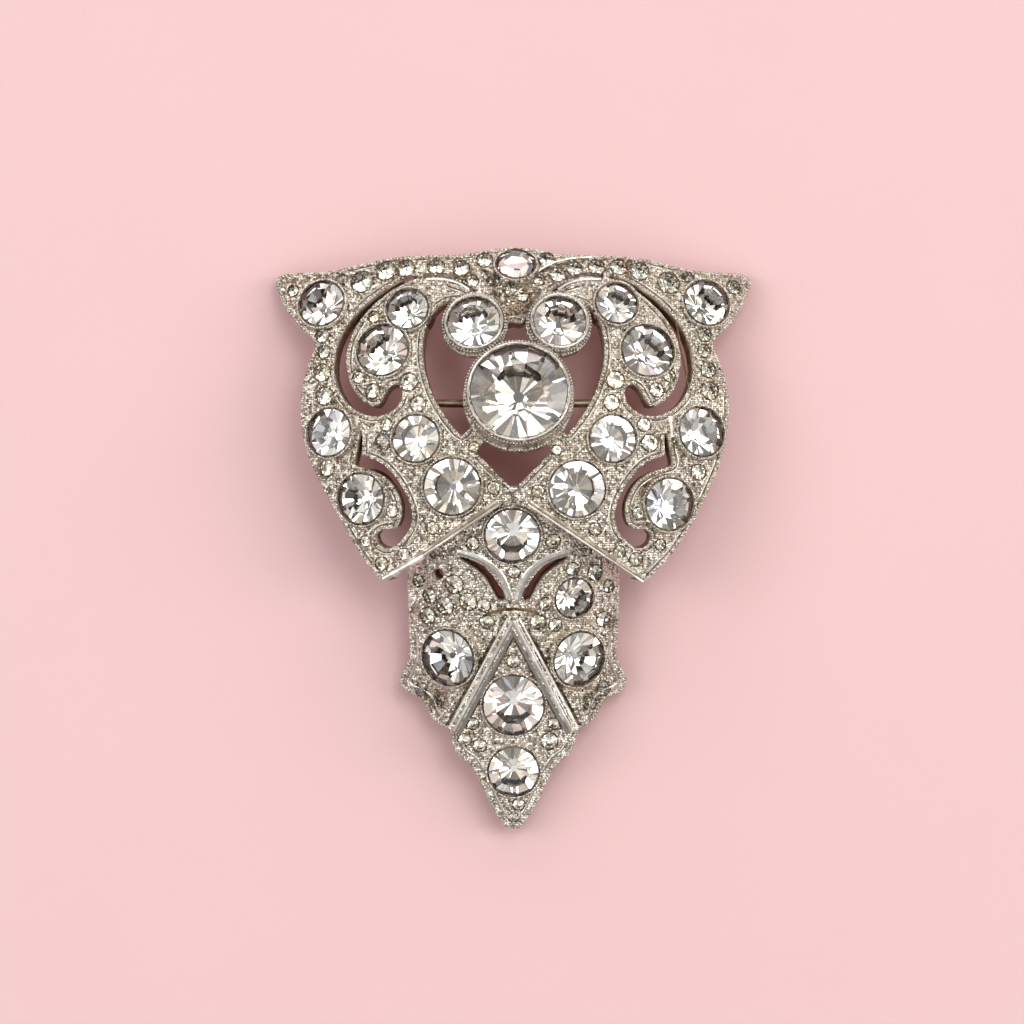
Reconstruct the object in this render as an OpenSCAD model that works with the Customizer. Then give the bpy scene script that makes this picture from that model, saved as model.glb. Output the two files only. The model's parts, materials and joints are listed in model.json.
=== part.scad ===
// Domed, pierced and stone-set brooch of white metal.
// Lies on its back: X to the right, Y to the top rim, Z to the viewer.
// The origin is the middle of the bounding box at its lowest face.

/* [Dome] */
// Radius of the domed face of the wings
dome_r = 50; // [48:0.5:54]
// Height of the dome's highest point
dome_top = 10; // [9.8:0.1:10.6]
// Distance of the dome's highest point from the middle, towards the rim
dome_y = 4; // [3:0.5:5]
// Thickness of the cast metal
wall = 1.6; // [1.4:0.1:1.8]

/* [Tail] */
// Radius across the tail
tail_r = 18; // [17:0.5:22]
// Fall of the tail towards its tip, in degrees
tail_slope = 14; // [13:0.5:15]
// Height of the tail's face at its tip
tip_top = 1.9; // [1.8:0.1:2.2]
// Height of the pointed leaf above the tail
leaf_rise = 0.55; // [0.4:0.05:0.7]
// Height of the polished ribs above the leaf
rib_rise = 0.5; // [0.3:0.05:0.6]
// Height of the polished wing edges above the dome
edge_rise = 0.3; // [0.1:0.05:0.4]

/* [Settings] */
// Room left between a stone and its seat
seat_gap = 0.06; // [0.05:0.01:0.1]
// Metal round a stone
collar_w = 0.38; // [0.3:0.02:0.42]
// Height of a collar above the stone's widest line
collar_lip = 0.12; // [0.05:0.01:0.2]
// Metal under a stone's point
floor_t = 0.45; // [0.35:0.05:0.6]
// Wall of the free-standing bezels
bezel_w = 0.36; // [0.3:0.02:0.4]

/* [Stones] */
// Height of a stone's crown as a share of its diameter
crown_share = 0.17; // [0.12:0.01:0.2]
// Depth of a stone's point as a share of its diameter
point_share = 0.4; // [0.37:0.01:0.42]
// Width of a stone's flat table as a share of its diameter
table_share = 0.52; // [0.45:0.01:0.6]
// Thickness of a stone's edge as a share of its diameter
edge_share = 0.03; // [0.02:0.005:0.05]

/* [Pin] */
// Diameter of the pin stem
pin_d = 0.7; // [0.6:0.05:0.9]
// Place of the pin stem above the middle
pin_y = 11.65; // [11.5:0.05:11.9]
// Height of the pin stem
pin_z = 5.2; // [5.2:0.05:5.4]
// Half the distance between hinge and catch
pin_reach = 8.2; // [8:0.1:8.4]

/* [Hidden] */
// Flat steps round a circle
$fn = 96;
// Steps between two knots of a curve
curve_steps = 2;
// Height of the blocks that outlines are cut from
block_h = 16;
// Place of the tail's tip
tip_y = -25.05;
// Metal beyond the tail's round face, so that the face runs past both ends
rod_back = 6;
rod_len = 46;
// Slab that the leaf and its ribs are cut from
slab_w = 20;
slab_back = 2;
slab_len = 26;
// Chamfers of the cups and bezels, and the flange at a bezel's foot
foot_chamfer = 0.15;
lip_chamfer = 0.12;
flange_w = 0.25;
flange_t = 0.35;
// Rise above which a stone sits in a free-standing bezel
plain_rise = 0.5;
// Room between the pin's feet and the casting, and the sizes of feet and hinge
foot_gap = 0.1;
foot_w = 2;
foot_l = 1.2;
foot_h = 4;
knuckle_d = 1.6;
knuckle_l = 1.8;

// Panels that a stone can lie on
DOME = 0;
TAIL = 1;
LEAF = 2;

// Columns of the stone tables
NAME = 0;
PANEL = 1;
X = 2;
Y = 3;
DIAMETER = 4;
LEAN = 5;
RISE = 6;

// Columns of the small stones, and the column of a field that holds them
PLACE_X = 0;
PLACE_Y = 1;
SIZE = 2;
STONES = 2;

// Main stones: name, panel, x, y, diameter, lean as a share of the panel's slope, rise above the panel
main_stones = [
    ["centre_stone", DOME, 0.45, 12.6, 8.3, 1.7, 2.0],
    ["bezel_stone_left", DOME, -3.4, 18.6, 4.5, 1.25, 0.9],
    ["bezel_stone_right", DOME, 3.95, 18.65, 4.5, 1.25, 0.9],
    ["top_stone", DOME, 0.2, 23.55, 3.3, 1.75, 0.3],
    ["horn_stone_left", DOME, -16.5, 20.25, 4.0, 1, 0.15],
    ["horn_stone_right", DOME, 16.6, 20.3, 4.0, 1, 0.15],
    ["scroll_small_left", DOME, -9.1, 19.75, 3.55, 1, 0.12],
    ["scroll_small_right", DOME, 8.85, 20.25, 3.6, 1, 0.12],
    ["scroll_large_left", DOME, -11.2, 16.2, 4.45, 1.1, 0.12],
    ["scroll_large_right", DOME, 11.5, 16.15, 4.5, 1.1, 0.12],
    ["side_stone_left", DOME, -15.8, 9.15, 4.1, 1.4, 0.25],
    ["side_stone_right", DOME, 16.1, 9.2, 4.2, 1.4, 0.25],
    ["vee_upper_left", DOME, -8.35, 8.6, 4.0, 1, 0.12],
    ["vee_upper_right", DOME, 8.5, 8.6, 4.0, 1, 0.12],
    ["vee_lower_left", DOME, -5.25, 4.5, 4.8, 1, 0.12],
    ["vee_lower_right", DOME, 5.45, 4.3, 4.75, 1, 0.12],
    ["hook_stone_left", DOME, -13.05, 3.45, 4.3, 1.6, 0.2],
    ["hook_stone_right", DOME, 13.35, 3.0, 4.4, 1.5, 0.2],
    ["tail_centre_stone", TAIL, -0.1, 0.3, 4.65, 1, 0.12],
    ["petal_stone", TAIL, 5.2, -5.05, 3.4, 1.2, 0.12],
    ["tail_side_left", TAIL, -5.6, -10.2, 4.8, 1.4, 0.2],
    ["tail_side_right", TAIL, 5.6, -10.3, 4.7, 1.4, 0.2],
    ["leaf_stone", LEAF, 0, -14.25, 5.2, 1, 0.15],
    ["leaf_point_stone", LEAF, 0, -20, 4.3, 1, 0.15],
];

// Small stones, in the same columns; each table is one field
small_rows = [
    ["rim_stones", DOME, [
        [-19.0, 21.4, 0.9], [-14.8, 22.35, 0.9], [-13.05, 22.15, 1.8], [-11.0, 23.1, 1.6],
        [-9.25, 23.3, 1.4], [-6.65, 23.4, 1.3], [-4.5, 23.3, 1.3], [-3.55, 22.2, 1.0],
        [-2.5, 24.0, 1.2], [-1.7, 22.2, 1.0], [-0.25, 21.4, 0.9], [0.75, 20.9, 0.9],
        [2.85, 24.0, 1.2], [2.2, 22.3, 0.9], [3.8, 22.75, 1.2], [5.25, 23.25, 1.2],
        [7.15, 23.4, 1.3], [9.05, 23.4, 1.3], [10.85, 23.05, 1.5], [13.35, 22.05, 1.8],
        [15.0, 22.5, 0.9], [19.0, 21.7, 1.1],
    ]],
    ["wing_stones_left", DOME, [
        [-16.45, 17.5, 1.1], [-16.3, 16.1, 1.0], [-16.45, 14.3, 1.4], [-16.25, 12.3, 1.4],
        [-9.0, 13.5, 1.4], [-8.2, 11.6, 1.2], [-12.0, 19.1, 0.9], [-13.3, 13.9, 0.9],
        [-12.1, 12.7, 1.1], [-11.2, 8.4, 1.2], [-10.9, 9.8, 0.9], [-16.0, 6.1, 1.2],
        [-10.4, 2.4, 0.9], [-1.7, 4.4, 0.9], [-6.9, 0.95, 0.9], [-9.4, -1.3, 0.9],
        [-11.3, -2.1, 1.0], [-12.7, -0.2, 0.8], [-3.4, 7.9, 0.7],
    ]],
    ["wing_stones_right", DOME, [
        [16.45, 17.6, 1.1], [16.4, 16.2, 1.0], [16.75, 14.55, 1.2], [16.9, 12.75, 1.4],
        [8.75, 13.65, 1.4], [8.4, 11.7, 1.2], [13.4, 14.0, 0.9], [12.3, 12.8, 1.1],
        [11.7, 8.25, 1.3], [11.2, 9.8, 1.0], [15.9, 5.75, 1.2], [10.7, 2.2, 0.9],
        [2.1, 4.1, 0.9], [7.0, 0.85, 0.9], [9.1, -1.1, 0.9], [10.5, -1.75, 1.0],
        [12.6, -0.5, 0.8], [3.7, 7.6, 0.7],
    ]],
    ["tail_stones", TAIL, [
        [-3.5, -0.4, 1.0], [3.4, -0.2, 1.1], [0.05, -2.85, 0.9], [-5.1, -3.9, 1.5],
        [-5.9, -5.75, 1.4], [-3.9, -5.4, 1.4], [-2.55, -5.7, 1.0], [-7.4, -6.6, 1.3],
        [-7.2, -4.9, 1.1], [-8.2, -3.6, 0.9], [-2.3, -7.1, 1.1], [2.1, -7.1, 1.2],
        [3.6, -7.4, 1.0], [2.75, -5.6, 1.0], [7.75, -6.9, 1.2], [8.2, -4.1, 0.9],
        [5.1, -2.6, 1.0], [7.0, -2.9, 1.2], [-7.9, -13.0, 1.1], [-6.7, -14.1, 0.9],
        [7.8, -12.9, 1.1], [6.6, -14.1, 1.1],
    ]],
    ["leaf_small_stones", LEAF, [
        [0, -10.5, 1.0], [-3.5, -15.9, 0.9], [3.5, -15.9, 0.9], [-4.2, -17.3, 1.0],
        [-2.9, -17.8, 1.0], [3.1, -17.4, 1.3], [0.45, -22.9, 0.9], [0, -24.0, 0.7],
    ]],
];

// Outline of a wing on the left, from the middle of the top rim to the lower corner, in smooth stretches
rim_knots = [[0, 25.05], [-1.6, 24.95], [-3.2, 24.65], [-5, 24.4], [-7.6, 24.4], [-10.5, 24.2],
    [-13, 23.7], [-15, 23.2], [-17.2, 22.95], [-19.3, 22.9], [-20.25, 22.6]];
horn_knots = [[-20.25, 22.6], [-20.5, 22.15], [-20.15, 21], [-19.35, 19.4], [-18.2, 18], [-17.15, 17.05]];
side_knots = [[-17.15, 17.05], [-17.1, 16.3], [-17.7, 14.8], [-18.25, 12.3], [-18.2, 9.6],
    [-17.65, 7.2], [-16.6, 4.9], [-15.05, 2.1], [-13.4, -0.9], [-12.1, -2.7], [-11.35, -3.55]];
// The right wing's side bulges a little more; its knots are given as on the left
side_knots_right = [[-17.15, 17.05], [-17.2, 16.3], [-17.9, 14.8], [-18.5, 12.3], [-18.4, 9.6],
    [-17.95, 7.2], [-17.05, 4.8], [-15.5, 1.65], [-13.75, -1.1], [-12.65, -2.3], [-11.4, -3.55]];
// Lowest point of the vee between the wings
vee_foot = [0, 3.7];
wing_corner = [-10.95, -3.65];

// Opening round the bezels, left half, from the notch under the top stone to the point of the vee
heart_knots = [[0.1, 18.65], [-0.75, 18.45], [-1.05, 19.0], [-2.5, 20.3], [-4.4, 20.5], [-5.7, 20.4],
    [-6.5, 19.9], [-7.1, 19.1], [-7.6, 18], [-7.8, 16.6], [-7.75, 15.2], [-7.45, 13.8], [-6.95, 12.4],
    [-6.2, 11], [-5.3, 9.75], [-4.2, 8.5], [-2.9, 7.1], [0, 4.2]];

// Long curved opening between rim and scroll: outer edge, hook, and inner edge
crescent_outer = [[-8.2, 22.75], [-9.8, 22.2], [-11.5, 21.15], [-13, 19.95], [-14.25, 18.5], [-15.1, 16.9],
    [-15.45, 15], [-15.3, 13.6], [-14.65, 12.1], [-13.5, 11], [-12.1, 10.5], [-10.8, 10.75],
    [-9.85, 11.5], [-9.5, 12.5], [-9.75, 13.15], [-10.25, 13.3], [-10.8, 12.9], [-11.2, 12.2],
    [-11.55, 11.5]];
crescent_inner = [[-11.55, 11.5], [-12.1, 11.4], [-12.9, 11.85], [-13.6, 12.6], [-14.1, 13.7], [-14.35, 15.1],
    [-14.25, 16.4], [-13.85, 17.6], [-13.1, 18.9], [-12.05, 20.1], [-10.7, 21.2], [-9.4, 21.95],
    [-8.2, 22.45]];

// Hooked opening of the lower scroll: upper edge, hook, and inner edge with its slit
hook_upper = [[-12.95, 7.2], [-12.3, 6.95], [-11.3, 6.5], [-10.4, 5.65], [-9.6, 4.6], [-9, 3.4],
    [-8.65, 2.1], [-8.85, 0.95], [-9.45, 0.05], [-10.2, -0.65], [-11, -0.8], [-11.6, -0.4], [-11.85, 0.2]];
hook_end = [[-11.85, 0.2], [-11.5, 0.7], [-10.9, 0.9], [-10.05, 0.95]];
hook_inner = [[-10.05, 0.95], [-9.65, 1.7], [-9.6, 2.8], [-9.85, 3.75], [-10.35, 4.65], [-11.1, 5.35],
    [-12.2, 5.9], [-13.3, 6.2], [-13.75, 6.4]];
hook_slit = [[-13.5, 7.3], [-13.2, 9], [-12.95, 9]];

// Narrow slit between a bezel and the rim
slit_knots = [[-3.1, 21.35], [-4.3, 21.95], [-5.6, 22.3], [-5.6, 22.05], [-4.4, 21.68], [-3.35, 21.18]];

// Crescent openings of the tail
petal_outer = [[-4.9, -1.6], [-4.15, -1.5], [-3.3, -1.8], [-2.45, -2.4], [-1.75, -3.2], [-1.1, -4.15],
    [-0.65, -5]];
petal_inner = [[-0.65, -5], [-0.85, -5.35], [-1.3, -5.3], [-1.65, -4.8], [-2, -4.1], [-2.5, -3.35],
    [-3.15, -2.75], [-3.95, -2.2]];

// Outline of the left half of the tail, from under the wing to the leaf
tail_top = [[0, 4.6], [-2, 3.1]];
tail_knots = [[-9.1, -2], [-9.1, -5], [-9.0, -8], [-8.85, -10]];
lobe_knots = [[-8.85, -10], [-9.25, -11], [-9.8, -12.2], [-9.45, -13.05], [-8.5, -13.45], [-7.7, -14],
    [-7.35, -14.9], [-6.8, -15.7], [-6.2, -16.1]];
leaf_knots = [[-5.35, -16.8], [-5.2, -17.8], [-4.75, -18.6], [-3.9, -19.25], [-3.3, -20]];
leaf_tip_knots = [[-3.3, -20], [-2.75, -21.2], [-2.2, -22.4], [-1.5, -23.7], [-0.65, -24.85]];
// Apex of the leaf and the outer foot of its rib
leaf_apex = [0, -6.2];
rib_foot = [-5.45, -16.5];
rib_w = 0.85;
rib_drop = 0.2;
// Angle between a rib and the middle line
rib_half = atan2(-rib_foot[0], leaf_apex[1] - rib_foot[1]);
// How far leaf and ribs reach into the tail's metal, and the leaf's overhang past the plate under it
leaf_root = 0.9;
rib_root = 0.6;
leaf_over = [0.3, 0.35];
// Width of the polished wing edges, and where their lower part starts
vee_edge_w = 0.75;
vee_reach = [-9.0, -2.3];

// Struts that carry the centre bezel: outer end in the wing, width, and end before the bezel's middle
strut_end = [-4.6, 7.4];
strut_w = 1.7;
strut_stop = 3;

// Hole that a lost stone has left in the left petal
lost_stone = [-6.5, -3.05];
lost_stone_d = 1.0;

// Point of a smooth curve between knots b and c
function curve_point(a, b, c, d, t) =
    0.5 * (2 * b + (c - a) * t + (2 * a - 5 * b + 4 * c - d) * t * t + (3 * b - a - 3 * c + d) * t * t * t);

// Smooth stretch through its knots, without its last knot
function smooth(knots) =
    let (last = len(knots) - 1)
    [for (i = [0 : last - 1], s = [0 : curve_steps - 1])
        curve_point(knots[max(i - 1, 0)], knots[i], knots[i + 1], knots[min(i + 2, last)], s / curve_steps)];

function smooth_to_end(knots) = concat(smooth(knots), [knots[len(knots) - 1]]);

// A left half's mirror image from its last point back, without points on the middle line
function mirrored(left) =
    [for (i = [len(left) - 1 : -1 : 0]) if (left[i][0] < -0.001) [-left[i][0], left[i][1]]];

function both_halves(left) = concat(left, mirrored(left));

// Height of the three panels over a place in plan
function dome_z(x, y) = dome_top - dome_r + sqrt(dome_r * dome_r - x * x - (y - dome_y) * (y - dome_y));
function tail_line(y) = tip_top + (y - tip_y) * tan(tail_slope);
function tail_z(x, y) = tail_line(y) - (tail_r - sqrt(tail_r * tail_r - x * x)) / cos(tail_slope);
function leaf_z(y) = tail_line(y) + leaf_rise / cos(tail_slope);
function panel_z(panel, x, y) = panel == DOME ? dome_z(x, y) : panel == TAIL ? tail_z(x, y) : leaf_z(y);

// How far a stone's axis leans to the side, as the flat part of its unit vector
function lean_of(panel, x, y, share) =
    panel == DOME ? [x, y - dome_y] * share / dome_r
    : let (side = panel == TAIL ? x * share / tail_r : 0) [side, -sin(tail_slope) * sqrt(1 - side * side)];

// Depth of the seat under a stone's widest line
function seat_depth(d) = point_share * d + 0.08;

// Puts its children at a stone's place, with Z along the stone's axis
module at_place(panel, x, y, share, rise) {
    lean = lean_of(panel, x, y, share);
    translate([x, y, panel_z(panel, x, y) + rise])
        rotate([0, asin(norm(lean)), atan2(lean[1], lean[0])])
            children();
}

module at_main(row) {
    at_place(row[PANEL], row[X], row[Y], row[LEAN], row[RISE]) children();
}

// Frame of the tail: Y along its top line from the tip, Z away from its face
module in_tail_frame() {
    translate([0, tip_y, tip_top]) rotate([tail_slope, 0, 0]) children();
}

// Both mirror images of its children
module both_sides() {
    children();
    mirror([1, 0, 0]) children();
}

module wing_outline() {
    upper = concat(smooth(rim_knots), smooth(horn_knots));
    left = concat(upper, smooth_to_end(side_knots), [wing_corner, vee_foot]);
    right = concat(upper, smooth_to_end(side_knots_right), [wing_corner]);
    polygon(concat(left, mirrored(right)));
}

module wing_openings() {
    polygon(both_halves(smooth_to_end(heart_knots)));
    both_sides() {
        polygon(concat(smooth(crescent_outer), smooth_to_end(crescent_inner)));
        polygon(concat(smooth(hook_upper), smooth(hook_end), smooth_to_end(hook_inner), hook_slit));
        polygon(slit_knots);
    }
}

// Two struts from the wings to the centre bezel
module struts() {
    centre = [main_stones[0][X], main_stones[0][Y]];
    for (side = [-1, 1]) {
        foot = [-side * strut_end[0], strut_end[1]];
        run = centre - foot;
        translate(foot)
            rotate(atan2(run[1], run[0]))
                translate([0, -strut_w / 2]) square([norm(run) - strut_stop, strut_w]);
    }
}

// Ball under the dome's face, larger by rise
module dome_ball(rise) {
    translate([0, dome_y, dome_top - dome_r]) sphere(r = dome_r + rise, $fn = 200);
}

module wing_plate() {
    difference() {
        intersection() {
            linear_extrude(height = block_h) {
                difference() {
                    wing_outline();
                    wing_openings();
                }
                struts();
            }
            dome_ball(0);
        }
        dome_ball(-wall);
    }
}

// Band along the vee, from the lower corner of the left wing to the middle
module vee_band(from) {
    along = vee_foot - from;
    translate(from)
        rotate(atan2(along[1], along[0]))
            square([norm(along) + 0.4, vee_edge_w]);
}

// Polished edges of the wings, which reach down to the tail
module vee_edges() {
    difference() {
        intersection() {
            linear_extrude(height = block_h) both_sides() vee_band(wing_corner);
            dome_ball(edge_rise);
        }
        dome_ball(-wall);
    }
    difference() {
        intersection() {
            linear_extrude(height = block_h) both_sides() vee_band(vee_reach);
            dome_ball(-wall / 2);
        }
        tail_hollow();
    }
}

// Round solid along the tail, with its face lowered by sink
module tail_rod(sink) {
    in_tail_frame()
        translate([0, -rod_back, -tail_r]) rotate([-90, 0, 0]) cylinder(r = tail_r - sink, h = rod_len);
}

// Everything under the tail's metal
module tail_hollow() {
    tail_rod(wall);
}

// Knots of the leaf's edge moved a little into the leaf
function inside_leaf(knots) = [for (k = knots) k + leaf_over];

// The plate under the leaf stops inside the leaf's edge
module tail_outline() {
    leaf_edge = inside_leaf(leaf_knots);
    leaf_end = inside_leaf(leaf_tip_knots);
    polygon(both_halves(concat(tail_top, smooth(tail_knots), smooth_to_end(lobe_knots),
        smooth(leaf_edge), smooth(leaf_end), [[0, tip_y + 0.9]])));
}

module tail_openings() {
    both_sides() polygon(concat(smooth(petal_outer), smooth_to_end(petal_inner)));
    translate(lost_stone) circle(d = lost_stone_d);
}

module tail_plate() {
    difference() {
        intersection() {
            linear_extrude(height = block_h) difference() {
                tail_outline();
                tail_openings();
            }
            tail_rod(0);
        }
        tail_hollow();
    }
}

// Slab in the tail's frame, from a depth under the tail's top line to a height above it
module tail_slab(depth, height) {
    in_tail_frame() translate([-slab_w / 2, -slab_back, -depth]) cube([slab_w, slab_len, depth + height]);
}

// The pointed leaf, a flat raised panel
module leaf_outline() {
    polygon(both_halves(concat([leaf_apex, rib_foot], smooth(leaf_knots), smooth_to_end(leaf_tip_knots),
        [[0, tip_y]])));
}

module leaf_plate() {
    intersection() {
        linear_extrude(height = block_h) leaf_outline();
        tail_slab(leaf_root, leaf_rise);
    }
}

// Two polished ribs that meet at the leaf's apex
module leaf_ribs() {
    apex = leaf_apex + [0, rib_drop];
    outer = rib_foot - [rib_drop / 2, 0];
    inner = rib_foot + [rib_w, rib_drop];
    intersection() {
        linear_extrude(height = block_h)
            polygon(both_halves([apex, outer, inner, apex - [0, rib_w / sin(rib_half)]]));
        tail_slab(rib_root, leaf_rise + rib_rise);
    }
}

// Ring and cup round a stone, closed under the stone's point
module cup(d) {
    outer = d / 2 + collar_w;
    base = -seat_depth(d) - floor_t;
    rotate_extrude() polygon([
        [0, base],
        [outer - foot_chamfer, base],
        [outer, base + foot_chamfer],
        [outer, -lip_chamfer],
        [outer - lip_chamfer, collar_lip],
        [0, collar_lip]]);
}

// Tall bezel with a flange at its foot
module bezel(d, h) {
    outer = d / 2 + bezel_w;
    base = -seat_depth(d) - floor_t;
    top = collar_lip + 0.1;
    rotate_extrude() polygon([
        [0, base],
        [outer - flange_w, base],
        [outer + flange_w, -h - flange_t],
        [outer + flange_w, -h],
        [outer + 0.05, -h + 0.2],
        [outer, 0],
        [outer - foot_chamfer, top],
        [0, top]]);
}

module settings() {
    for (row = main_stones)
        at_main(row)
            if (row[RISE] > plain_rise) bezel(row[DIAMETER], row[RISE]); else cup(row[DIAMETER]);
}

module seats() {
    for (row = main_stones) {
        depth = seat_depth(row[DIAMETER]);
        at_main(row)
            translate([0, 0, -depth]) cylinder(d = row[DIAMETER] + 2 * seat_gap, h = depth + 2);
    }
    for (field = small_rows)
        for (s = field[STONES])
            at_place(field[PANEL], s[PLACE_X], s[PLACE_Y], 1, 0)
                translate([0, 0, -seat_depth(s[SIZE])])
                    cylinder(d = s[SIZE] + 2 * seat_gap, h = seat_depth(s[SIZE]) + 1);
}

module casting() {
    color([0.72, 0.69, 0.65])
        intersection() {
            difference() {
                union() {
                    wing_plate();
                    vee_edges();
                    tail_plate();
                    leaf_plate();
                    leaf_ribs();
                    settings();
                }
                seats();
            }
            translate([-30, -30, 0]) cube([60, 60, block_h]);
        }
}

// Ring of points: n of them at radius r and height z, turned by half a step where asked
function ring(n, r, z, half) = [for (i = [0 : n - 1])
    [r * cos((i + (half ? 0.5 : 0)) * 360 / n), r * sin((i + (half ? 0.5 : 0)) * 360 / n), z]];

// Brilliant with an octagon table, star, kite and girdle facets, and a point
module brilliant(d) {
    r = d / 2;
    edge = edge_share * d / 2;
    crown = crown_share * d;
    table = ring(8, table_share * r, crown, false);
    middle = ring(8, (table_share + 0.62 * (1 - table_share)) * r, edge + 0.5 * (crown - edge), true);
    upper = ring(16, r, edge, false);
    lower = ring(16, r, -edge, false);
    points = concat(table, middle, upper, lower, [[0, 0, -point_share * d]]);
    faces = concat(
        [[7, 6, 5, 4, 3, 2, 1, 0]],
        [for (i = [0 : 7]) [i, (i + 1) % 8, 8 + i]],
        [for (i = [0 : 7]) [i, 8 + i, 16 + 2 * i]],
        [for (i = [0 : 7]) [i, 16 + 2 * i, 8 + (i + 7) % 8]],
        [for (i = [0 : 7]) [8 + i, 17 + 2 * i, 16 + 2 * i]],
        [for (i = [0 : 7]) [8 + i, 16 + (2 * i + 2) % 16, 17 + 2 * i]],
        [for (i = [0 : 15]) [16 + i, 16 + (i + 1) % 16, 32 + (i + 1) % 16]],
        [for (i = [0 : 15]) [16 + i, 32 + (i + 1) % 16, 32 + i]],
        [for (i = [0 : 15]) [32 + i, 32 + (i + 1) % 16, 48]]);
    polyhedron(points = points, faces = faces);
}

// Small stone with a table, eight crown facets and a point
module small_stone(d) {
    r = d / 2;
    edge = edge_share * d;
    crown = crown_share * d;
    points = concat(ring(8, table_share * r, crown, false), ring(8, r, edge, true), ring(8, r, -edge, true),
        [[0, 0, -point_share * d]]);
    faces = concat(
        [[7, 6, 5, 4, 3, 2, 1, 0]],
        [for (i = [0 : 7]) [i, (i + 1) % 8, 8 + i]],
        [for (i = [0 : 7]) [(i + 1) % 8, 8 + (i + 1) % 8, 8 + i]],
        [for (i = [0 : 7]) [8 + i, 8 + (i + 1) % 8, 16 + (i + 1) % 8]],
        [for (i = [0 : 7]) [8 + i, 16 + (i + 1) % 8, 16 + i]],
        [for (i = [0 : 7]) [16 + i, 16 + (i + 1) % 8, 24]]);
    polyhedron(points = points, faces = faces);
}

module main_stone(row) {
    color([0.92, 0.94, 0.96]) at_main(row) brilliant(row[DIAMETER]);
}

module stone_field(field) {
    color([0.85, 0.87, 0.86])
        for (s = field[STONES])
            at_place(field[PANEL], s[PLACE_X], s[PLACE_Y], 1, 0) small_stone(s[SIZE]);
}

// Pin stem with its hinge and catch, made as one plain piece
module pin_clasp() {
    color([0.6, 0.56, 0.5]) {
        intersection() {
            union()
                for (side = [-1, 1])
                    translate([side * pin_reach - foot_w / 2, pin_y - foot_l / 2, pin_z])
                        cube([foot_w, foot_l, foot_h]);
            dome_ball(-wall - foot_gap);
        }
        translate([-pin_reach, pin_y, pin_z]) rotate([0, 90, 0]) cylinder(d = pin_d, h = 2 * pin_reach);
        for (side = [-1, 1])
            translate([side * pin_reach, pin_y + knuckle_l / 2, pin_z])
                rotate([90, 0, 0]) cylinder(d = knuckle_d, h = knuckle_l);
    }
}

casting();
pin_clasp();
for (row = main_stones) main_stone(row);
for (field = small_rows) stone_field(field);
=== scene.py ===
"""Looks of a domed, pierced and stone-set shoe clip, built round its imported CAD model.

Shapes are worked out in millimetres, in the frame of the CAD model, and turned into metres when a piece is
finished. The casting and the pin are the CAD model's own. The stones replace their plain solids, and the
beaded edges, settings, chips and polished trim lie on the casting.
"""

import json
import logging
import math
import random
from dataclasses import dataclass, field
from enum import Enum
from typing import Any, Iterable, Optional, Sequence, Union

import bmesh
import bpy
import numpy as np
from mathutils import Matrix, Vector
from mathutils.bvhtree import BVHTree
from mathutils.kdtree import KDTree


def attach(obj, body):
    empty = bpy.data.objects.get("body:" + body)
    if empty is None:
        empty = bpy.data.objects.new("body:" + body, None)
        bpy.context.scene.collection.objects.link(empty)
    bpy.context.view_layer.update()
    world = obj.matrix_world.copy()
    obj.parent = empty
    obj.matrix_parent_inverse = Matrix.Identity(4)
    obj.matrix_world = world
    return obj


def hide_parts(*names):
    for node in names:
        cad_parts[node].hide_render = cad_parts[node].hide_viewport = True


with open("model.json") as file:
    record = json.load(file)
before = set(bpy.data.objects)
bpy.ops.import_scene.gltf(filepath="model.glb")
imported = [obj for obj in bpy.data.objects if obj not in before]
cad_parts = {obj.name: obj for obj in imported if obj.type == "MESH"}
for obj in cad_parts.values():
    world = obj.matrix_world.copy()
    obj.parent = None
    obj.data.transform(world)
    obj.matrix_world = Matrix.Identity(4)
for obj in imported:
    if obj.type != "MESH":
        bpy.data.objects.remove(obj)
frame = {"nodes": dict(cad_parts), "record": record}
log = logging.getLogger("shoe_clip")

METRES = 0.001
Number = Union[int, float]
Colour = tuple[float, float, float]
Span = tuple[float, float]
Knots = Sequence[Span]
Mesh = bmesh.types.BMesh
Socket = bpy.types.NodeSocket
Paint = Union[Colour, Socket]
MORE_DETAIL = 4.0


class Panel(Enum):
    """The three surfaces that the casting's face follows."""

    DOME = "dome"
    TAIL = "tail"
    LEAF = "leaf"


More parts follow.
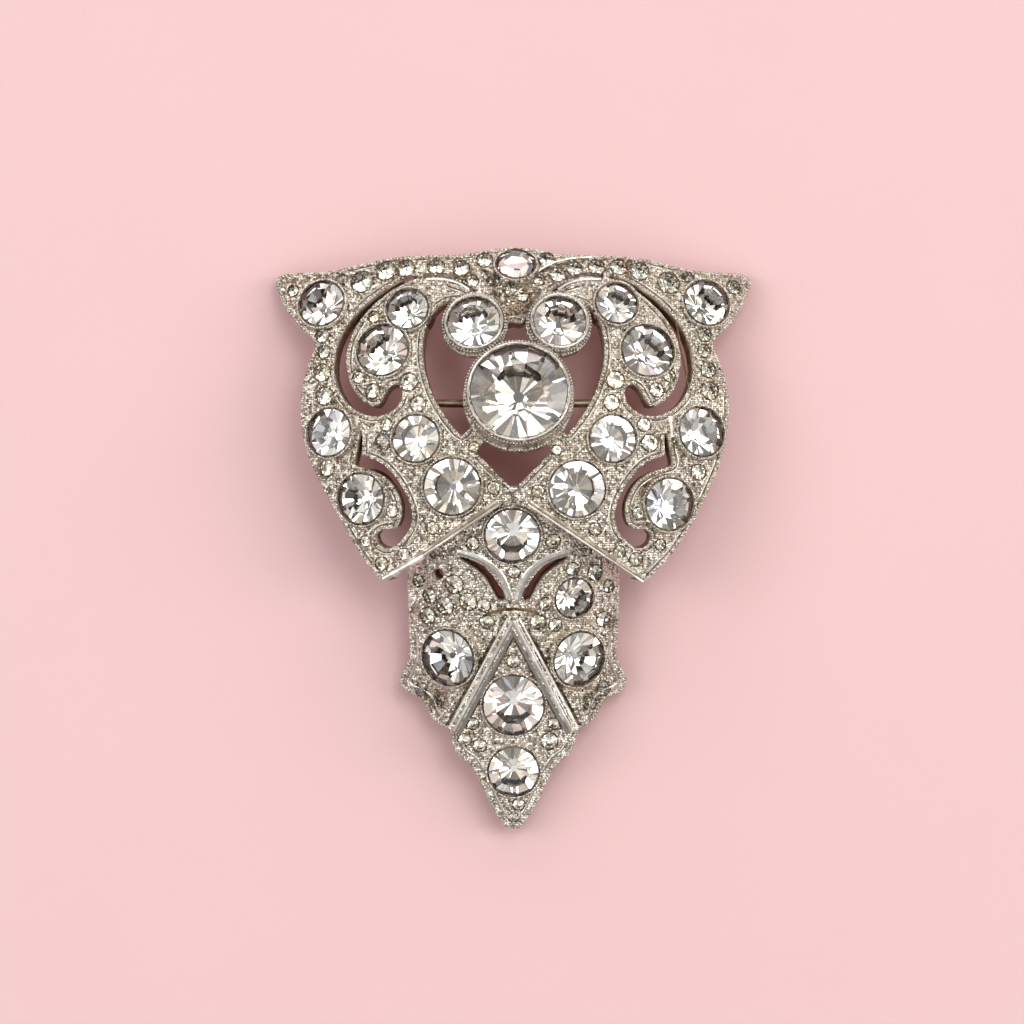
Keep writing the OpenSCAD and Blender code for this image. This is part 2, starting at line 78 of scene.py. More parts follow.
@dataclass(frozen=True)
class Form:
    """Sizes of the surfaces under the casting's face, in millimetres, as in the part's source."""

    dome_r: float = 50.0
    dome_top: float = 10.0
    dome_y: float = 4.0
    tail_r: float = 18.0
    tail_slope: float = math.radians(14.0)
    tip_y: float = -25.05
    tip_top: float = 1.9
    leaf_rise: float = 0.55
    vee_foot: float = 3.7
    vee_fall: float = 0.671
    leaf_apex: float = -6.2
    rib_fall: float = 1.89
    rib_foot: float = -16.9
    seam: float = 0.1

    def tail_line(self, y: float) -> float:
        """Height of the tail's highest line at y."""
        return self.tip_top + (y - self.tip_y) * math.tan(self.tail_slope)

    def height(self, panel: Panel, x: float, y: float) -> float:
        """Height of a panel over a place in plan.

        Args:
            panel: the surface that is asked for.
            x: place to the right.
            y: place towards the rim.

        Returns:
            The height in millimetres.
        """
        if panel is Panel.DOME:
            return self.dome_top - self.dome_r + math.sqrt(self.dome_r**2 - x * x - (y - self.dome_y) ** 2)
        if panel is Panel.LEAF:
            return self.tail_line(y) + self.leaf_rise / math.cos(self.tail_slope)
        drop = self.tail_r - math.sqrt(max(self.tail_r**2 - x * x, 1.0))
        return self.tail_line(y) - drop / math.cos(self.tail_slope)

    def normal(self, panel: Panel, x: float, y: float) -> Vector:
        """Direction that points out of a panel's face at a place in plan.

        Args:
            panel: the surface that is asked for.
            x: place to the right.
            y: place towards the rim.

        Returns:
            A unit vector.
        """
        if panel is Panel.DOME:
            z = math.sqrt(self.dome_r**2 - x * x - (y - self.dome_y) ** 2)
            return Vector((x, y - self.dome_y, z)).normalized()
        side = x / self.tail_r if panel is Panel.TAIL else 0.0
        up = math.sqrt(1.0 - side * side)
        return Vector((side, -math.sin(self.tail_slope) * up, math.cos(self.tail_slope) * up))

    def panel_at(self, x: float, y: float) -> Panel:
        """The panel that a place in plan belongs to.

        Args:
            x: place to the right.
            y: place towards the rim.

        Returns:
            The dome, the tail or the leaf.
        """
        if y > self.vee_foot - self.vee_fall * abs(x):
            return Panel.DOME
        inside_leaf = y < self.leaf_apex - self.rib_fall * abs(x) or y < self.rib_foot
        return Panel.LEAF if inside_leaf else Panel.TAIL

    def on(self, x: float, y: float, rise: float = 0.0, panel: Optional[Panel] = None) -> Vector:
        """A point on the face over a place in plan, lifted along the face's normal.

        Args:
            x: place to the right.
            y: place towards the rim.
            rise: lift along the normal.
            panel: the surface, or None for the one that the place belongs to.

        Returns:
            The point in millimetres.
        """
        chosen = panel or self.panel_at(x, y)
        return Vector((x, y, self.height(chosen, x, y))) + rise * self.normal(chosen, x, y)


FORM = Form()


# Shader maths


class Signal:
    """A node socket in an expression, so that shader maths reads as arithmetic on one value."""

    def __init__(self, nodes: "Nodes", socket: Socket) -> None:
        """Wraps a socket.

        Args:
            nodes: the tree that the expression adds its nodes to.
            socket: the output that carries the value.
        """
        self.nodes = nodes
        self.socket = socket

    def _math(self, operation: str, *values: Union["Signal", Number]) -> "Signal":
        """One Math node on the given values."""
        node = self.nodes.node("ShaderNodeMath", {"operation": operation}, dict(enumerate(values)))
        return Signal(self.nodes, node.outputs[0])

    def __add__(self, other: Union["Signal", Number]) -> "Signal":
        """Sum."""
        return self._math("ADD", self, other)

    def __radd__(self, other: Number) -> "Signal":
        """Sum with a number first."""
        return self._math("ADD", other, self)

    def __sub__(self, other: Union["Signal", Number]) -> "Signal":
        """Difference."""
        return self._math("SUBTRACT", self, other)

    def __rsub__(self, other: Number) -> "Signal":
        """Difference with a number first."""
        return self._math("SUBTRACT", other, self)

    def __mul__(self, other: Union["Signal", Number]) -> "Signal":
        """Product."""
        return self._math("MULTIPLY", self, other)

    def __rmul__(self, other: Number) -> "Signal":
        """Product with a number first."""
        return self._math("MULTIPLY", other, self)

    def __abs__(self) -> "Signal":
        """Size without sign."""
        return self._math("ABSOLUTE", self)

    def root(self) -> "Signal":
        """Square root."""
        return self._math("SQRT", self)

    def at_most(self, other: Union["Signal", Number]) -> "Signal":
        """The smaller of two values."""
        return self._math("MINIMUM", self, other)

    def at_least(self, other: Union["Signal", Number]) -> "Signal":
        """The larger of two values."""
        return self._math("MAXIMUM", self, other)

    def ramp(self, low: float, high: float) -> "Signal":
        """Smooth step from 0 at low to 1 at high, which may be the smaller.

        Args:
            low: value where the step is 0.
            high: value where the step is 1.

        Returns:
            The step.
        """
        turned = high < low
        ends = (high, low) if turned else (low, high)
        node = self.nodes.node(
            "ShaderNodeMapRange",
            {"interpolation_type": "SMOOTHSTEP"},
            {"Value": self, "From Min": ends[0], "From Max": ends[1], "To Min": 0.0, "To Max": 1.0},
        )
        step = Signal(self.nodes, node.outputs[0])
        return 1.0 - step if turned else step


class Nodes:
    """Nodes of one tree, all made through one method."""

    def __init__(self, tree: bpy.types.NodeTree) -> None:
        """Empties a tree.

        Args:
            tree: the tree that the nodes go to.
        """
        self.tree = tree
        self.tree.nodes.clear()

    def node(
        self, kind: str, settings: Optional[dict[str, Any]] = None, sockets: Optional[dict[Any, Any]] = None
    ) -> bpy.types.Node:
        """Makes one node.

        Args:
            kind: the node's type.
            settings: properties that are set first, with a ramp's stops under "stops".
            sockets: values or links, by the input's name or number.

        Returns:
            The new node.
        """
        node = self.tree.nodes.new(kind)
        for key, value in (settings or {}).items():
            if key == "stops":
                self._stops(node.color_ramp, value)
            else:
                setattr(node, key, value)
        for key, value in (sockets or {}).items():
            self.join(node.inputs[key], value)
        return node

    def join(self, target: Socket, value: Any) -> None:
        """Links a socket, or sets its value.

        Args:
            target: the input.
            value: a signal, a socket or a plain value.
        """
        if isinstance(value, Signal):
            self.tree.links.new(value.socket, target)
        elif isinstance(value, Socket):
            self.tree.links.new(value, target)
        else:
            target.default_value = value

    @staticmethod
    def _stops(ramp: bpy.types.ColorRamp, stops: Sequence[tuple[float, Colour]]) -> None:
        """Sets a ramp's stops.

        Args:
            ramp: the ramp of a node.
            stops: place and colour of each stop.
        """
        while len(ramp.elements) < len(stops):
            ramp.elements.new(0.5)
        for element, (place, colour) in zip(ramp.elements, stops):
            element.position = place
            element.color = (*colour, 1.0)

    def split(self, vector: Socket) -> tuple[Signal, Signal, Signal]:
        """The three parts of a vector."""
        node = self.node("ShaderNodeSeparateXYZ", sockets={0: vector})
        return Signal(self, node.outputs[0]), Signal(self, node.outputs[1]), Signal(self, node.outputs[2])

    def vector(self, operation: str, sockets: dict[Any, Any]) -> Socket:
        """One Vector Math node on the given values."""
        return self.node("ShaderNodeVectorMath", {"operation": operation}, sockets).outputs[0]

    def cloud(self, place: Socket, size: float, detail: float = 3.0, rough: float = 0.55) -> Signal:
        """Soft noise with patches of a given size.

        Args:
            place: place in millimetres.
            size: width of a patch in millimetres.
            detail: number of finer layers.
            rough: strength of the finer layers.

        Returns:
            A value around 0.5.
        """
        node = self.node(
            "ShaderNodeTexNoise",
            {"noise_dimensions": "3D"},
            {"Vector": place, "Scale": 1.0 / size, "Detail": detail, "Roughness": rough},
        )
        return Signal(self, node.outputs["Fac"])


class Finish(Nodes):
    """Nodes of one material, round a principled shader."""

    def __init__(self, name: str) -> None:
        """Starts an empty material with a principled shader.

        Args:
            name: the material's name.
        """
        self.material = bpy.data.materials.new(name)
        self.material.use_nodes = True
        super().__init__(self.material.node_tree)
        self.shader = self.node("ShaderNodeBsdfPrincipled")
        self.node("ShaderNodeOutputMaterial", sockets={"Surface": self.shader.outputs[0]})

    def millimetres(self) -> Socket:
        """Place on the piece in millimetres."""
        place = self.node("ShaderNodeTexCoord").outputs["Object"]
        return self.vector("SCALE", {0: place, "Scale": 1.0 / METRES})

    def _cells(self, place: Socket, size: float) -> bpy.types.Node:
        """Irregular cells of a given size."""
        settings = {"voronoi_dimensions": "3D", "feature": "F1"}
        return self.node("ShaderNodeTexVoronoi", settings, {"Vector": place, "Scale": 1.0 / size})

    def cell_shade(self, place: Socket, size: float) -> Signal:
        """One random value for each cell of a given size."""
        return self.split(self._cells(place, size).outputs["Color"])[0]

    def blend(self, amount: Signal, first: Paint, second: Paint) -> Socket:
        """Mixes two colours.

        Args:
            amount: share of the second colour.
            first: a colour or a link.
            second: a colour or a link.

        Returns:
            The mixed colour's socket.
        """
        first, second = ((*c, 1.0) if isinstance(c, tuple) else c for c in (first, second))
        settings = {"data_type": "RGBA", "clamp_factor": True}
        return self.node("ShaderNodeMix", settings, {0: amount, 6: first, 7: second}).outputs[2]

    def set(self, **values: Any) -> None:
        """Sets the shader's sockets; an underscore in a name stands for a space.

        Args:
            values: value or link of each socket.
        """
        for key, value in values.items():
            plain_colour = isinstance(value, tuple) and len(value) == 3
            self.join(self.shader.inputs[key.replace("_", " ")], (*value, 1.0) if plain_colour else value)

    def grains(self, place: Socket, size: float, tilt: float) -> tuple[Signal, Signal, Socket]:
        """Grains as on a sanded casting: each has its own shade and turns its own way.

        Args:
            place: place in millimetres.
            size: width of a grain in millimetres.
            tilt: how far a grain turns away, as the tangent of an angle.

        Returns:
            A random shade for each grain, the distance from its middle, and the turned direction.
        """
        cells = self._cells(place, size)
        chance = cells.outputs["Color"]
        around = self.vector("SUBTRACT", {0: chance, 1: (0.5, 0.5, 0.5)})
        turned = self.vector("SCALE", {0: around, "Scale": 2.0 * tilt})
        own = self.node("ShaderNodeNewGeometry").outputs["Normal"]
        way = self.vector("NORMALIZE", {0: self.vector("ADD", {0: own, 1: turned})})
        return self.split(chance)[0], Signal(self, cells.outputs["Distance"]), way

    def relief(self, height: Signal, depth: float, under: Optional[Socket] = None) -> None:
        """Feeds a bump to the shader.

        Args:
            height: height as a share.
            depth: height of one share in millimetres.
            under: surface direction that the bump is laid on.
        """
        sockets: dict[Any, Any] = {"Distance": depth * METRES, "Height": height}
        if under is not None:
            sockets["Normal"] = under
        bump = self.node("ShaderNodeBump", sockets=sockets)
        self.tree.links.new(bump.outputs[0], self.shader.inputs["Normal"])


def depth_under_face(finish: Finish, place: Socket) -> Signal:
    """How deep a point lies under the casting's face.

    Args:
        finish: the material that the nodes go to.
        place: place in millimetres.

    Returns:
        The depth in millimetres, below 0 outside the face.
    """
    x, y, z = finish.split(place)
    across = x * x
    up = z - (FORM.dome_top - FORM.dome_r)
    along = y - FORM.dome_y
    dome = FORM.dome_r - (across + along * along + up * up).root()
    sine, cosine = math.sin(FORM.tail_slope), math.cos(FORM.tail_slope)
    lift = (z - FORM.tip_top) * cosine - (y - FORM.tip_y) * sine + FORM.tail_r
    tail = FORM.tail_r - (across + lift * lift).root()
    in_tail = (y + abs(x) * FORM.vee_fall).ramp(FORM.vee_foot, FORM.vee_foot - FORM.seam)
    return dome * (1.0 - in_tail) + tail * in_tail


@dataclass(frozen=True)
class WornSilver:
    """Warm grey plating on a cast tin alloy: rubbed where it stands proud, brown and dull in its recesses."""

    name: str = "worn_silver"
    bright: Colour = (0.96, 0.89, 0.78)
    grey: Colour = (0.38, 0.32, 0.25)
    tarnish: Colour = (0.17, 0.115, 0.07)
    back: Colour = (0.5, 0.24, 0.11)
    stain: Colour = (0.27, 0.19, 0.125)
    rough: float = 0.3
    rough_spread: float = 0.25
    grain: float = 0.2
    grain_depth: float = 0.07
    sparkle: float = 0.62
    recess_start: float = 0.12
    recess_end: float = 0.7
    back_start: float = 1.4
    back_end: float = 1.65
    stained: float = 0.35
    spots: tuple[tuple[float, float, float], ...] = (
        (0.2, 20.0, 2.6), (-9.6, 23.2, 1.5), (-4.0, 22.8, 1.5), (3.6, 22.4, 1.3), (9.6, 23.4, 1.4),
        (-11.3, 18.5, 0.9), (-6.8, -13.6, 1.6), (6.9, -13.8, 1.6), (-16.5, 5.6, 1.2), (8.6, -7.2, 1.0),
        (11.4, 4.6, 1.6),
    )
    spotted: float = 0.85
    spot_core: float = 0.2
    # Painted light: paler colour on the lower end and beside the vee
    low_end_painted_light: float = 0.13
    low_end_span: Span = (3.0, -4.0)
    vee_painted_light: float = 0.34
    vee_span: Span = (-1.5, 2.0)
    down_span: Span = (-0.1, -0.4)
    broad_size: float = 3.5
    patch_size: float = 1.1
    fine_size: float = 0.3
    fine_rough: float = 0.75
    fine_relief: float = 0.5
    shade_share: float = 0.55
    fine_share: float = 0.5
    patch_share: float = 0.35
    middle_share: float = 0.25
    light_span: Span = (0.34, 0.82)
    yellow_patch: float = 0.3
    yellow_span: Span = (0.52, 0.66)
    pit_level: float = 0.45
    pit_depth: float = 0.12
    pit_dark: float = 0.75
    recess_dark: float = 0.92
    recess_rough: float = 0.3
    dirt_span: Span = (0.1, 0.9)
    rough_limits: Span = (0.08, 0.9)

    def _spots(self, finish: Finish, place: Socket) -> Signal:
        """Soft round patches of tarnish at given places in plan.

        Args:
            finish: the material that the nodes go to.
            place: place in millimetres.

        Returns:
            The share of tarnish.
        """
        x, y, _ = finish.split(place)
        total: Union[Signal, Number] = 0.0
        for left, low, radius in self.spots:
            across, along = x - left, y - low
            spot = (across * across + along * along).root().ramp(radius, radius * self.spot_core)
            total = spot.at_least(total)
        return total * self.spotted

    def _painted_light(self, finish: Finish, place: Socket) -> Signal:
        """Painted light: the colour is made paler on the lower end, and beside the vee where the tail lies in
        the wings' shade.

        Args:
            finish: the material that the nodes go to.
            place: place in millimetres.

        Returns:
            The painted light that is added to the tone.
        """
        x, y, _ = finish.split(place)
        down = y + abs(x) * FORM.vee_fall
        beside_vee = down.ramp(*self.vee_span) * down.ramp(FORM.vee_foot, FORM.vee_foot - FORM.seam)
        return (y.ramp(*self.low_end_span) * self.low_end_painted_light).at_least(beside_vee * self.vee_painted_light)

    def build(self) -> bpy.types.Material:
        """Makes the material.

        Returns:
            The new material.
        """
        finish = Finish(self.name)
        place = finish.millimetres()
        depth = depth_under_face(finish, place)
        broad = finish.cloud(place, self.broad_size, MORE_DETAIL)
        fine = finish.cloud(place, self.fine_size, MORE_DETAIL, self.fine_rough)
        patch = finish.cloud(place, self.patch_size)
        shade, middle, way = finish.grains(place, self.grain, self.sparkle)
        recess = depth.ramp(self.recess_start, self.recess_end)
        facing = finish.split(finish.node("ShaderNodeTexCoord").outputs["Normal"])[2]
        under = depth.ramp(self.back_start, self.back_end) * facing.ramp(*self.down_span)
        light = shade * self.shade_share + fine * self.fine_share + patch * self.patch_share
        # Painted light is added to the tone on the lower end and beside the vee
        light = light - middle * self.middle_share + self._painted_light(finish, place)
        colour = finish.blend(light.ramp(*self.light_span), self.grey, self.bright)
        yellow = broad * (1.0 - self.yellow_patch) + patch * self.yellow_patch
        yellowed = (yellow.ramp(*self.yellow_span) * self.stained).at_least(self._spots(finish, place))
        colour = finish.blend(yellowed, colour, self.stain)
        pits = (self.pit_level - fine).ramp(0.0, self.pit_depth) * self.pit_dark
        dirt = (recess * self.recess_dark).ramp(*self.dirt_span).at_least(pits)
        colour = finish.blend(dirt, colour, self.tarnish)
        rough = (fine - 0.5) * self.rough_spread + self.rough + recess * self.recess_rough
        least, most = self.rough_limits
        finish.set(
            Base_Color=finish.blend(under, colour, self.back),
            Metallic=1.0,
            Roughness=rough.at_least(least).at_most(most),
        )
        finish.relief(fine * self.fine_relief - middle, self.grain_depth, under=way)
        return finish.material


@dataclass(frozen=True)
class RubbedSilver:
    """Bright metal of beads, rings and polished edges, with fine scratches and a little tarnish."""

    name: str = "rubbed_silver"
    bright: Colour = (0.86, 0.84, 0.8)
    dull: Colour = (0.5, 0.46, 0.4)
    rough: float = 0.2
    shade_size: float = 0.3
    depth: float = 0.012
    broad_size: float = 2.2
    fine_size: float = 0.12
    shade_share: float = 0.45
    broad_share: float = 0.7
    bright_span: Span = (0.25, 0.85)
    dull_rough: float = 0.25
    scratch_rough: float = 0.12
    least_rough: float = 0.05

    def build(self) -> bpy.types.Material:
        """Makes the material.

        Returns:
            The new material.
        """
        finish = Finish(self.name)
        place = finish.millimetres()
        shade = finish.cell_shade(place, self.shade_size)
        broad = finish.cloud(place, self.broad_size, MORE_DETAIL)
        fine = finish.cloud(place, self.fine_size)
        amount = (shade * self.shade_share + broad * self.broad_share).ramp(*self.bright_span)
        rough = (1.0 - amount) * self.dull_rough + self.rough + (fine - 0.5) * self.scratch_rough
        finish.set(
            Base_Color=finish.blend(amount, self.dull, self.bright),
            Metallic=1.0,
            Roughness=rough.at_least(self.least_rough),
        )
        finish.relief(fine, self.depth)
        return finish.material


@dataclass(frozen=True)
class Foil:
    """Silver foil behind a stone, spotted and yellowed with age."""

    name: str = "stone_foil"
    clean: Colour = (0.93, 0.92, 0.89)
    aged: Colour = (0.72, 0.66, 0.5)
    spot: Colour = (0.16, 0.13, 0.1)
    rough: float = 0.06
    aged_share: float = 0.3
    spot_share: float = 0.6
    cool: Colour = (0.83, 0.84, 0.96)
    rosy: Colour = (1.0, 0.86, 0.82)
    tinted: float = 0.6
    broad_size: float = 2.6
    small_size: float = 0.45
    tint_size: float = 1.3
    cool_span: Span = (0.35, 0.05)
    rosy_span: Span = (0.75, 0.95)
    aged_span: Span = (0.45, 0.75)
    spot_broad: float = 0.3
    spot_span: Span = (0.62, 0.74)

    def build(self) -> bpy.types.Material:
        """Makes the material.

        Returns:
            The new material.
        """
        finish = Finish(self.name)
        place = finish.millimetres()
        broad = finish.cloud(place, self.broad_size)
        small = finish.cloud(place, self.small_size)
        tint = finish.cell_shade(place, self.tint_size)
        spots = small * (1.0 - self.spot_broad) + broad * self.spot_broad
        colour: Paint = self.clean
        for amount, share, other in (
            (tint.ramp(*self.cool_span), self.tinted, self.cool),
            (tint.ramp(*self.rosy_span), self.tinted, self.rosy),
            (broad.ramp(*self.aged_span), self.aged_share, self.aged),
            (spots.ramp(*self.spot_span), self.spot_share, self.spot),
        ):
            colour = finish.blend(amount * share, colour, other)
        finish.set(Base_Color=colour, Metallic=1.0, Roughness=self.rough)
        return finish.material


@dataclass(frozen=True)
class ClearGlass:
    """Clear cut glass."""

    name: str = "cut_glass"
    tint: Colour = (0.985, 0.99, 0.985)
    bend: float = 1.56

    def build(self) -> bpy.types.Material:
        """Makes the material.

        Returns:
            The new material.
        """
        finish = Finish(self.name)
        finish.set(Base_Color=self.tint, Roughness=0.0, IOR=self.bend, Transmission_Weight=1.0)
        return finish.material


@dataclass(frozen=True)
class DarkRecess:
    """Dark, dull metal on the walls of openings; copies of it also paint shade in the gap round a stone and
    in dark strips beside grooves and ridges.
    """

    name: str = "dark_recess"
    dark: Colour = (0.13, 0.09, 0.065)
    light: Colour = (0.4, 0.32, 0.25)
    streak: float = 0.16
    streak_detail: float = 2.0
    streak_share: float = 0.6
    stretch: tuple[float, float, float] = (0.15, 0.15, 1.0)
    grain: float = 0.3
    light_span: Span = (0.4, 0.62)
    metal: float = 0.8
    rough: float = 0.4
    rough_spread: float = 0.3
    depth: float = 0.04

    def build(self) -> bpy.types.Material:
        """Makes the material.

        Returns:
            The new material.
        """
        finish = Finish(self.name)
        place = finish.millimetres()
        fine = finish.cloud(place, self.grain, MORE_DETAIL)
        flat = finish.vector("MULTIPLY", {0: place, 1: self.stretch})
        streaks = finish.cloud(flat, self.streak, self.streak_detail)
        amount = fine * (1.0 - self.streak_share) + streaks * self.streak_share
        finish.set(
            Base_Color=finish.blend(amount.ramp(*self.light_span), self.dark, self.light),
            Metallic=self.metal,
            Roughness=fine * self.rough_spread + self.rough,
        )
        finish.relief(fine, self.depth)
        return finish.material


@dataclass(frozen=True)
class DulledBrass:
    """Brass of the pin, greyed with wear."""

    name: str = "dulled_brass"
    worn: Colour = (0.5, 0.43, 0.33)
    dull: Colour = (0.24, 0.19, 0.13)
    broad_size: float = 1.6
    fine_size: float = 0.15
    worn_span: Span = (0.4, 0.65)
    rough: float = 0.2
    rough_spread: float = 0.35
    depth: float = 0.01

    def build(self) -> bpy.types.Material:
        """Makes the material.

        Returns:
            The new material.
        """
        finish = Finish(self.name)
        place = finish.millimetres()
        broad = finish.cloud(place, self.broad_size, MORE_DETAIL)
        fine = finish.cloud(place, self.fine_size)
        finish.set(
            Base_Color=finish.blend(broad.ramp(*self.worn_span), self.dull, self.worn),
            Metallic=1.0,
            Roughness=broad * self.rough_spread + self.rough,
        )
        finish.relief(fine, self.depth)
        return finish.material


@dataclass(frozen=True)
class PinkPaper:
    """Pale pink paper under the piece."""

    name: str = "pink_paper"
    light: Colour = (0.93, 0.63, 0.63)
    deep: Colour = (0.9, 0.6, 0.6)
    broad_size: float = 14.0
    fine_size: float = 0.5
    fine_share: float = 0.3
    rough: float = 0.9
    depth: float = 0.02

    def build(self) -> bpy.types.Material:
        """Makes the material.

        Returns:
            The new material.
        """
        finish = Finish(self.name)
        place = finish.millimetres()
        broad = finish.cloud(place, self.broad_size)
        fine = finish.cloud(place, self.fine_size, MORE_DETAIL)
        amount = broad * (1.0 - self.fine_share) + fine * self.fine_share
        finish.set(Base_Color=finish.blend(amount, self.light, self.deep), Roughness=self.rough)
        finish.relief(fine, self.depth)
        return finish.material


# Pieces


def finish_piece(
    bm: Mesh,
    name: str,
    materials: Sequence[bpy.types.Material],
    smooth: bool = False,
    outward: bool = False,
) -> bpy.types.Object:
    """Turns a mesh in millimetres into a piece that rides on the part.

    Args:
        bm: the mesh, which is freed.
        name: the piece's name.
        materials: its materials, by face index.
        smooth: whether its faces are shaded smooth.
        outward: whether its faces are turned outwards first.

    Returns:
        The new object, at the origin.
    """
    if outward:
        bmesh.ops.recalc_face_normals(bm, faces=bm.faces)
    bmesh.ops.scale(bm, vec=Vector((METRES,) * 3), verts=bm.verts)
    mesh = bpy.data.meshes.new(name)
    bm.to_mesh(mesh)
    bm.free()
    for material in materials:
        mesh.materials.append(material)
    mesh.polygons.foreach_set("use_smooth", [smooth] * len(mesh.polygons))
    mesh.update()
    piece = bpy.data.objects.new(name, mesh)
    bpy.context.scene.collection.objects.link(piece)
    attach(piece, "root")
    log.info("%s: %d faces", name, len(mesh.polygons))
    return piece


def turned_to(axis: Vector, spin: float = 0.0) -> Matrix:
    """Rotation that takes Z to an axis, after a spin about Z.

    Args:
        axis: the direction that Z goes to.
        spin: turn about Z, in radians.

    Returns:
        A 4 by 4 matrix.
    """
    return axis.to_track_quat("Z", "Y").to_matrix().to_4x4() @ Matrix.Rotation(spin, 4, "Z")


def merged_copy(node: str) -> Mesh:
    """A CAD node's mesh in millimetres, with its loose triangles joined.

    Args:
        node: the CAD node's name.

    Returns:
        The joined mesh, which the caller frees.
    """
    bm = bmesh.new()
    bm.from_mesh(frame["nodes"][node].data)
    bmesh.ops.scale(bm, vec=Vector((1.0 / METRES,) * 3), verts=bm.verts)
    bmesh.ops.remove_doubles(bm, verts=bm.verts, dist=0.0005)
    return bm


@dataclass(frozen=True)
class Seat:
    """Where one stone sits: the middle of its widest line, its axis and its diameter."""

    centre: Vector
    axis: Vector
    diameter: float

    @classmethod
    def of_solid(cls, points: Sequence[Vector], point_share: float) -> "Seat":
        """Finds the seat of a round stone from its solid's corners.

        Args:
            points: the corners, which are symmetrical about the stone's axis.
            point_share: depth of its point as a share of its diameter.

        Returns:
            The stone's seat.
        """
        array = np.array([tuple(p) for p in points])
        mean = array.mean(0)
        values, vectors = np.linalg.eigh(np.cov((array - mean).T))
        axis = Vector(vectors[:, 0])
        if axis.z < 0:
            axis = -axis
        offsets = [p - Vector(mean) for p in points]
        lowest = min(offsets, key=lambda o: o.dot(axis))
        diameter = 2 * max((o - o.dot(axis) * axis).length for o in offsets)
        foot = Vector(mean) + lowest.dot(axis) * axis
        return cls(foot + point_share * diameter * axis, axis, diameter)


def seats_of(node: str, point_share: float) -> list[Seat]:
    """Seats of all the stones in a CAD node.

    Args:
        node: the CAD node's name.
        point_share: depth of a stone's point as a share of its diameter.

    Returns:
        One seat for each solid.
    """
    bm = merged_copy(node)
    seats: list[Seat] = []
    left = set(bm.verts)
    while left:
        island = {left.pop()}
        edge_of = set(island)
        while edge_of:
            found = {e.other_vert(v) for v in edge_of for e in v.link_edges} - island
            island |= found
            edge_of = found
        left -= island
        seats.append(Seat.of_solid([v.co.copy() for v in island], point_share))
    bm.free()
    return sorted(seats, key=lambda s: (round(s.centre.x, 3), round(s.centre.y, 3)))


@dataclass(frozen=True)
class StoneCut:
    """One cut of stone as shares of its width; slopes are in degrees from the girdle."""

    fold: int = 8
    table: float = 0.27
    crown: float = 0.17
    edge: float = 0.015
    point: float = 0.40
    low_slope: float = 41.0
    star_slope: float = 21.0
    stars: bool = True
    blank_sides: int = 48
    low_fold: int = 8
    turn_low: float = 0.0

    def _cut(self, bm: Mesh, azimuth: float, slope: float, through: Vector, index: int) -> None:
        """Cuts one facet.

        Args:
            bm: the blank.
            azimuth: direction that the facet faces, in radians.
            slope: angle of the facet from the girdle's plane; over 90 degrees it faces down.
            through: a point that the facet passes through.
            index: the facet's material.
        """
        tilt = math.radians(slope)
        out = math.sin(tilt)
        normal = Vector((out * math.cos(azimuth), out * math.sin(azimuth), math.cos(tilt)))
        cut = bmesh.ops.bisect_plane(
            bm,
            geom=bm.verts[:] + bm.edges[:] + bm.faces[:],
            dist=1e-5,
            plane_co=through,
            plane_no=normal,
            clear_outer=True,
        )
        rim = [e for e in cut["geom_cut"] if isinstance(e, bmesh.types.BMEdge)]
        if len(rim) > 2:
            made = bmesh.ops.contextual_create(bm, geom=rim)
            for face in made["faces"]:
                face.material_index = index
                face.normal_update()

    def blank(self) -> Mesh:
        """Cuts the stone from a round blank, crown first.

        Returns:
            The faceted stone; faces of index 0 are glass and those of index 1 carry the foil.
        """
        bm = bmesh.new()
        bmesh.ops.create_cone(
            bm, cap_ends=True, segments=self.blank_sides, radius1=0.5, radius2=0.5, depth=1.0,
            matrix=Matrix.Rotation(math.pi / self.blank_sides, 4, "Z"),
        )
        step = 2 * math.pi / self.fold
        main_slope = math.degrees(math.atan((self.crown - self.edge) / (0.5 - self.table)))
        tip = Vector((0, 0, -self.edge - 0.5 * math.tan(math.radians(self.low_slope))))
        self._cut(bm, 0.0, 0.0, Vector((0, 0, self.crown)), 0)
        for i in range(self.fold):
            main = i * step
            corner = Vector((self.table * math.cos(main), self.table * math.sin(main), self.crown))
            self._cut(bm, main, main_slope, corner, 0)
        for i in range(self.low_fold):
            low_main = (i + self.turn_low) * 2 * math.pi / self.low_fold
            self._cut(bm, low_main, 180.0 - self.low_slope, tip, 1)
        for i in range(self.fold if self.stars else 0):
            between = (i + 0.5) * step
            reach = self.table * math.cos(step / 2)
            edge_mid = Vector((reach * math.cos(between), reach * math.sin(between), self.crown))
            self._cut(bm, between, self.star_slope, edge_mid, 0)
        self._cut(bm, 0.0, 180.0, Vector((0, 0, -self.point)), 1)
        bmesh.ops.recalc_face_normals(bm, faces=bm.faces)
        return bm


class StoneSetter:
    """Copies of one cut stone, put into seats."""

    def __init__(self, cut: StoneCut) -> None:
        """Cuts the pattern stone once.

        Args:
            cut: the cut of the stones.
        """
        pattern = cut.blank()
        self.mesh = bpy.data.meshes.new("stone_pattern")
        pattern.to_mesh(self.mesh)
        pattern.free()

    def add(self, bm: Mesh, seat: Seat, spin: float) -> None:
        """Adds one stone to a mesh.

        Args:
            bm: the mesh that it joins.
            seat: where it sits.
            spin: its turn about its own axis.
        """
        start = len(bm.verts)
        bm.from_mesh(self.mesh)
        bm.verts.ensure_lookup_table()
        place = Matrix.Translation(seat.centre) @ turned_to(seat.axis, spin) @ Matrix.Scale(seat.diameter, 4)
        bmesh.ops.transform(bm, matrix=place, verts=bm.verts[start:])

    def discard(self) -> None:
        """Drops the pattern."""
        bpy.data.meshes.remove(self.mesh)


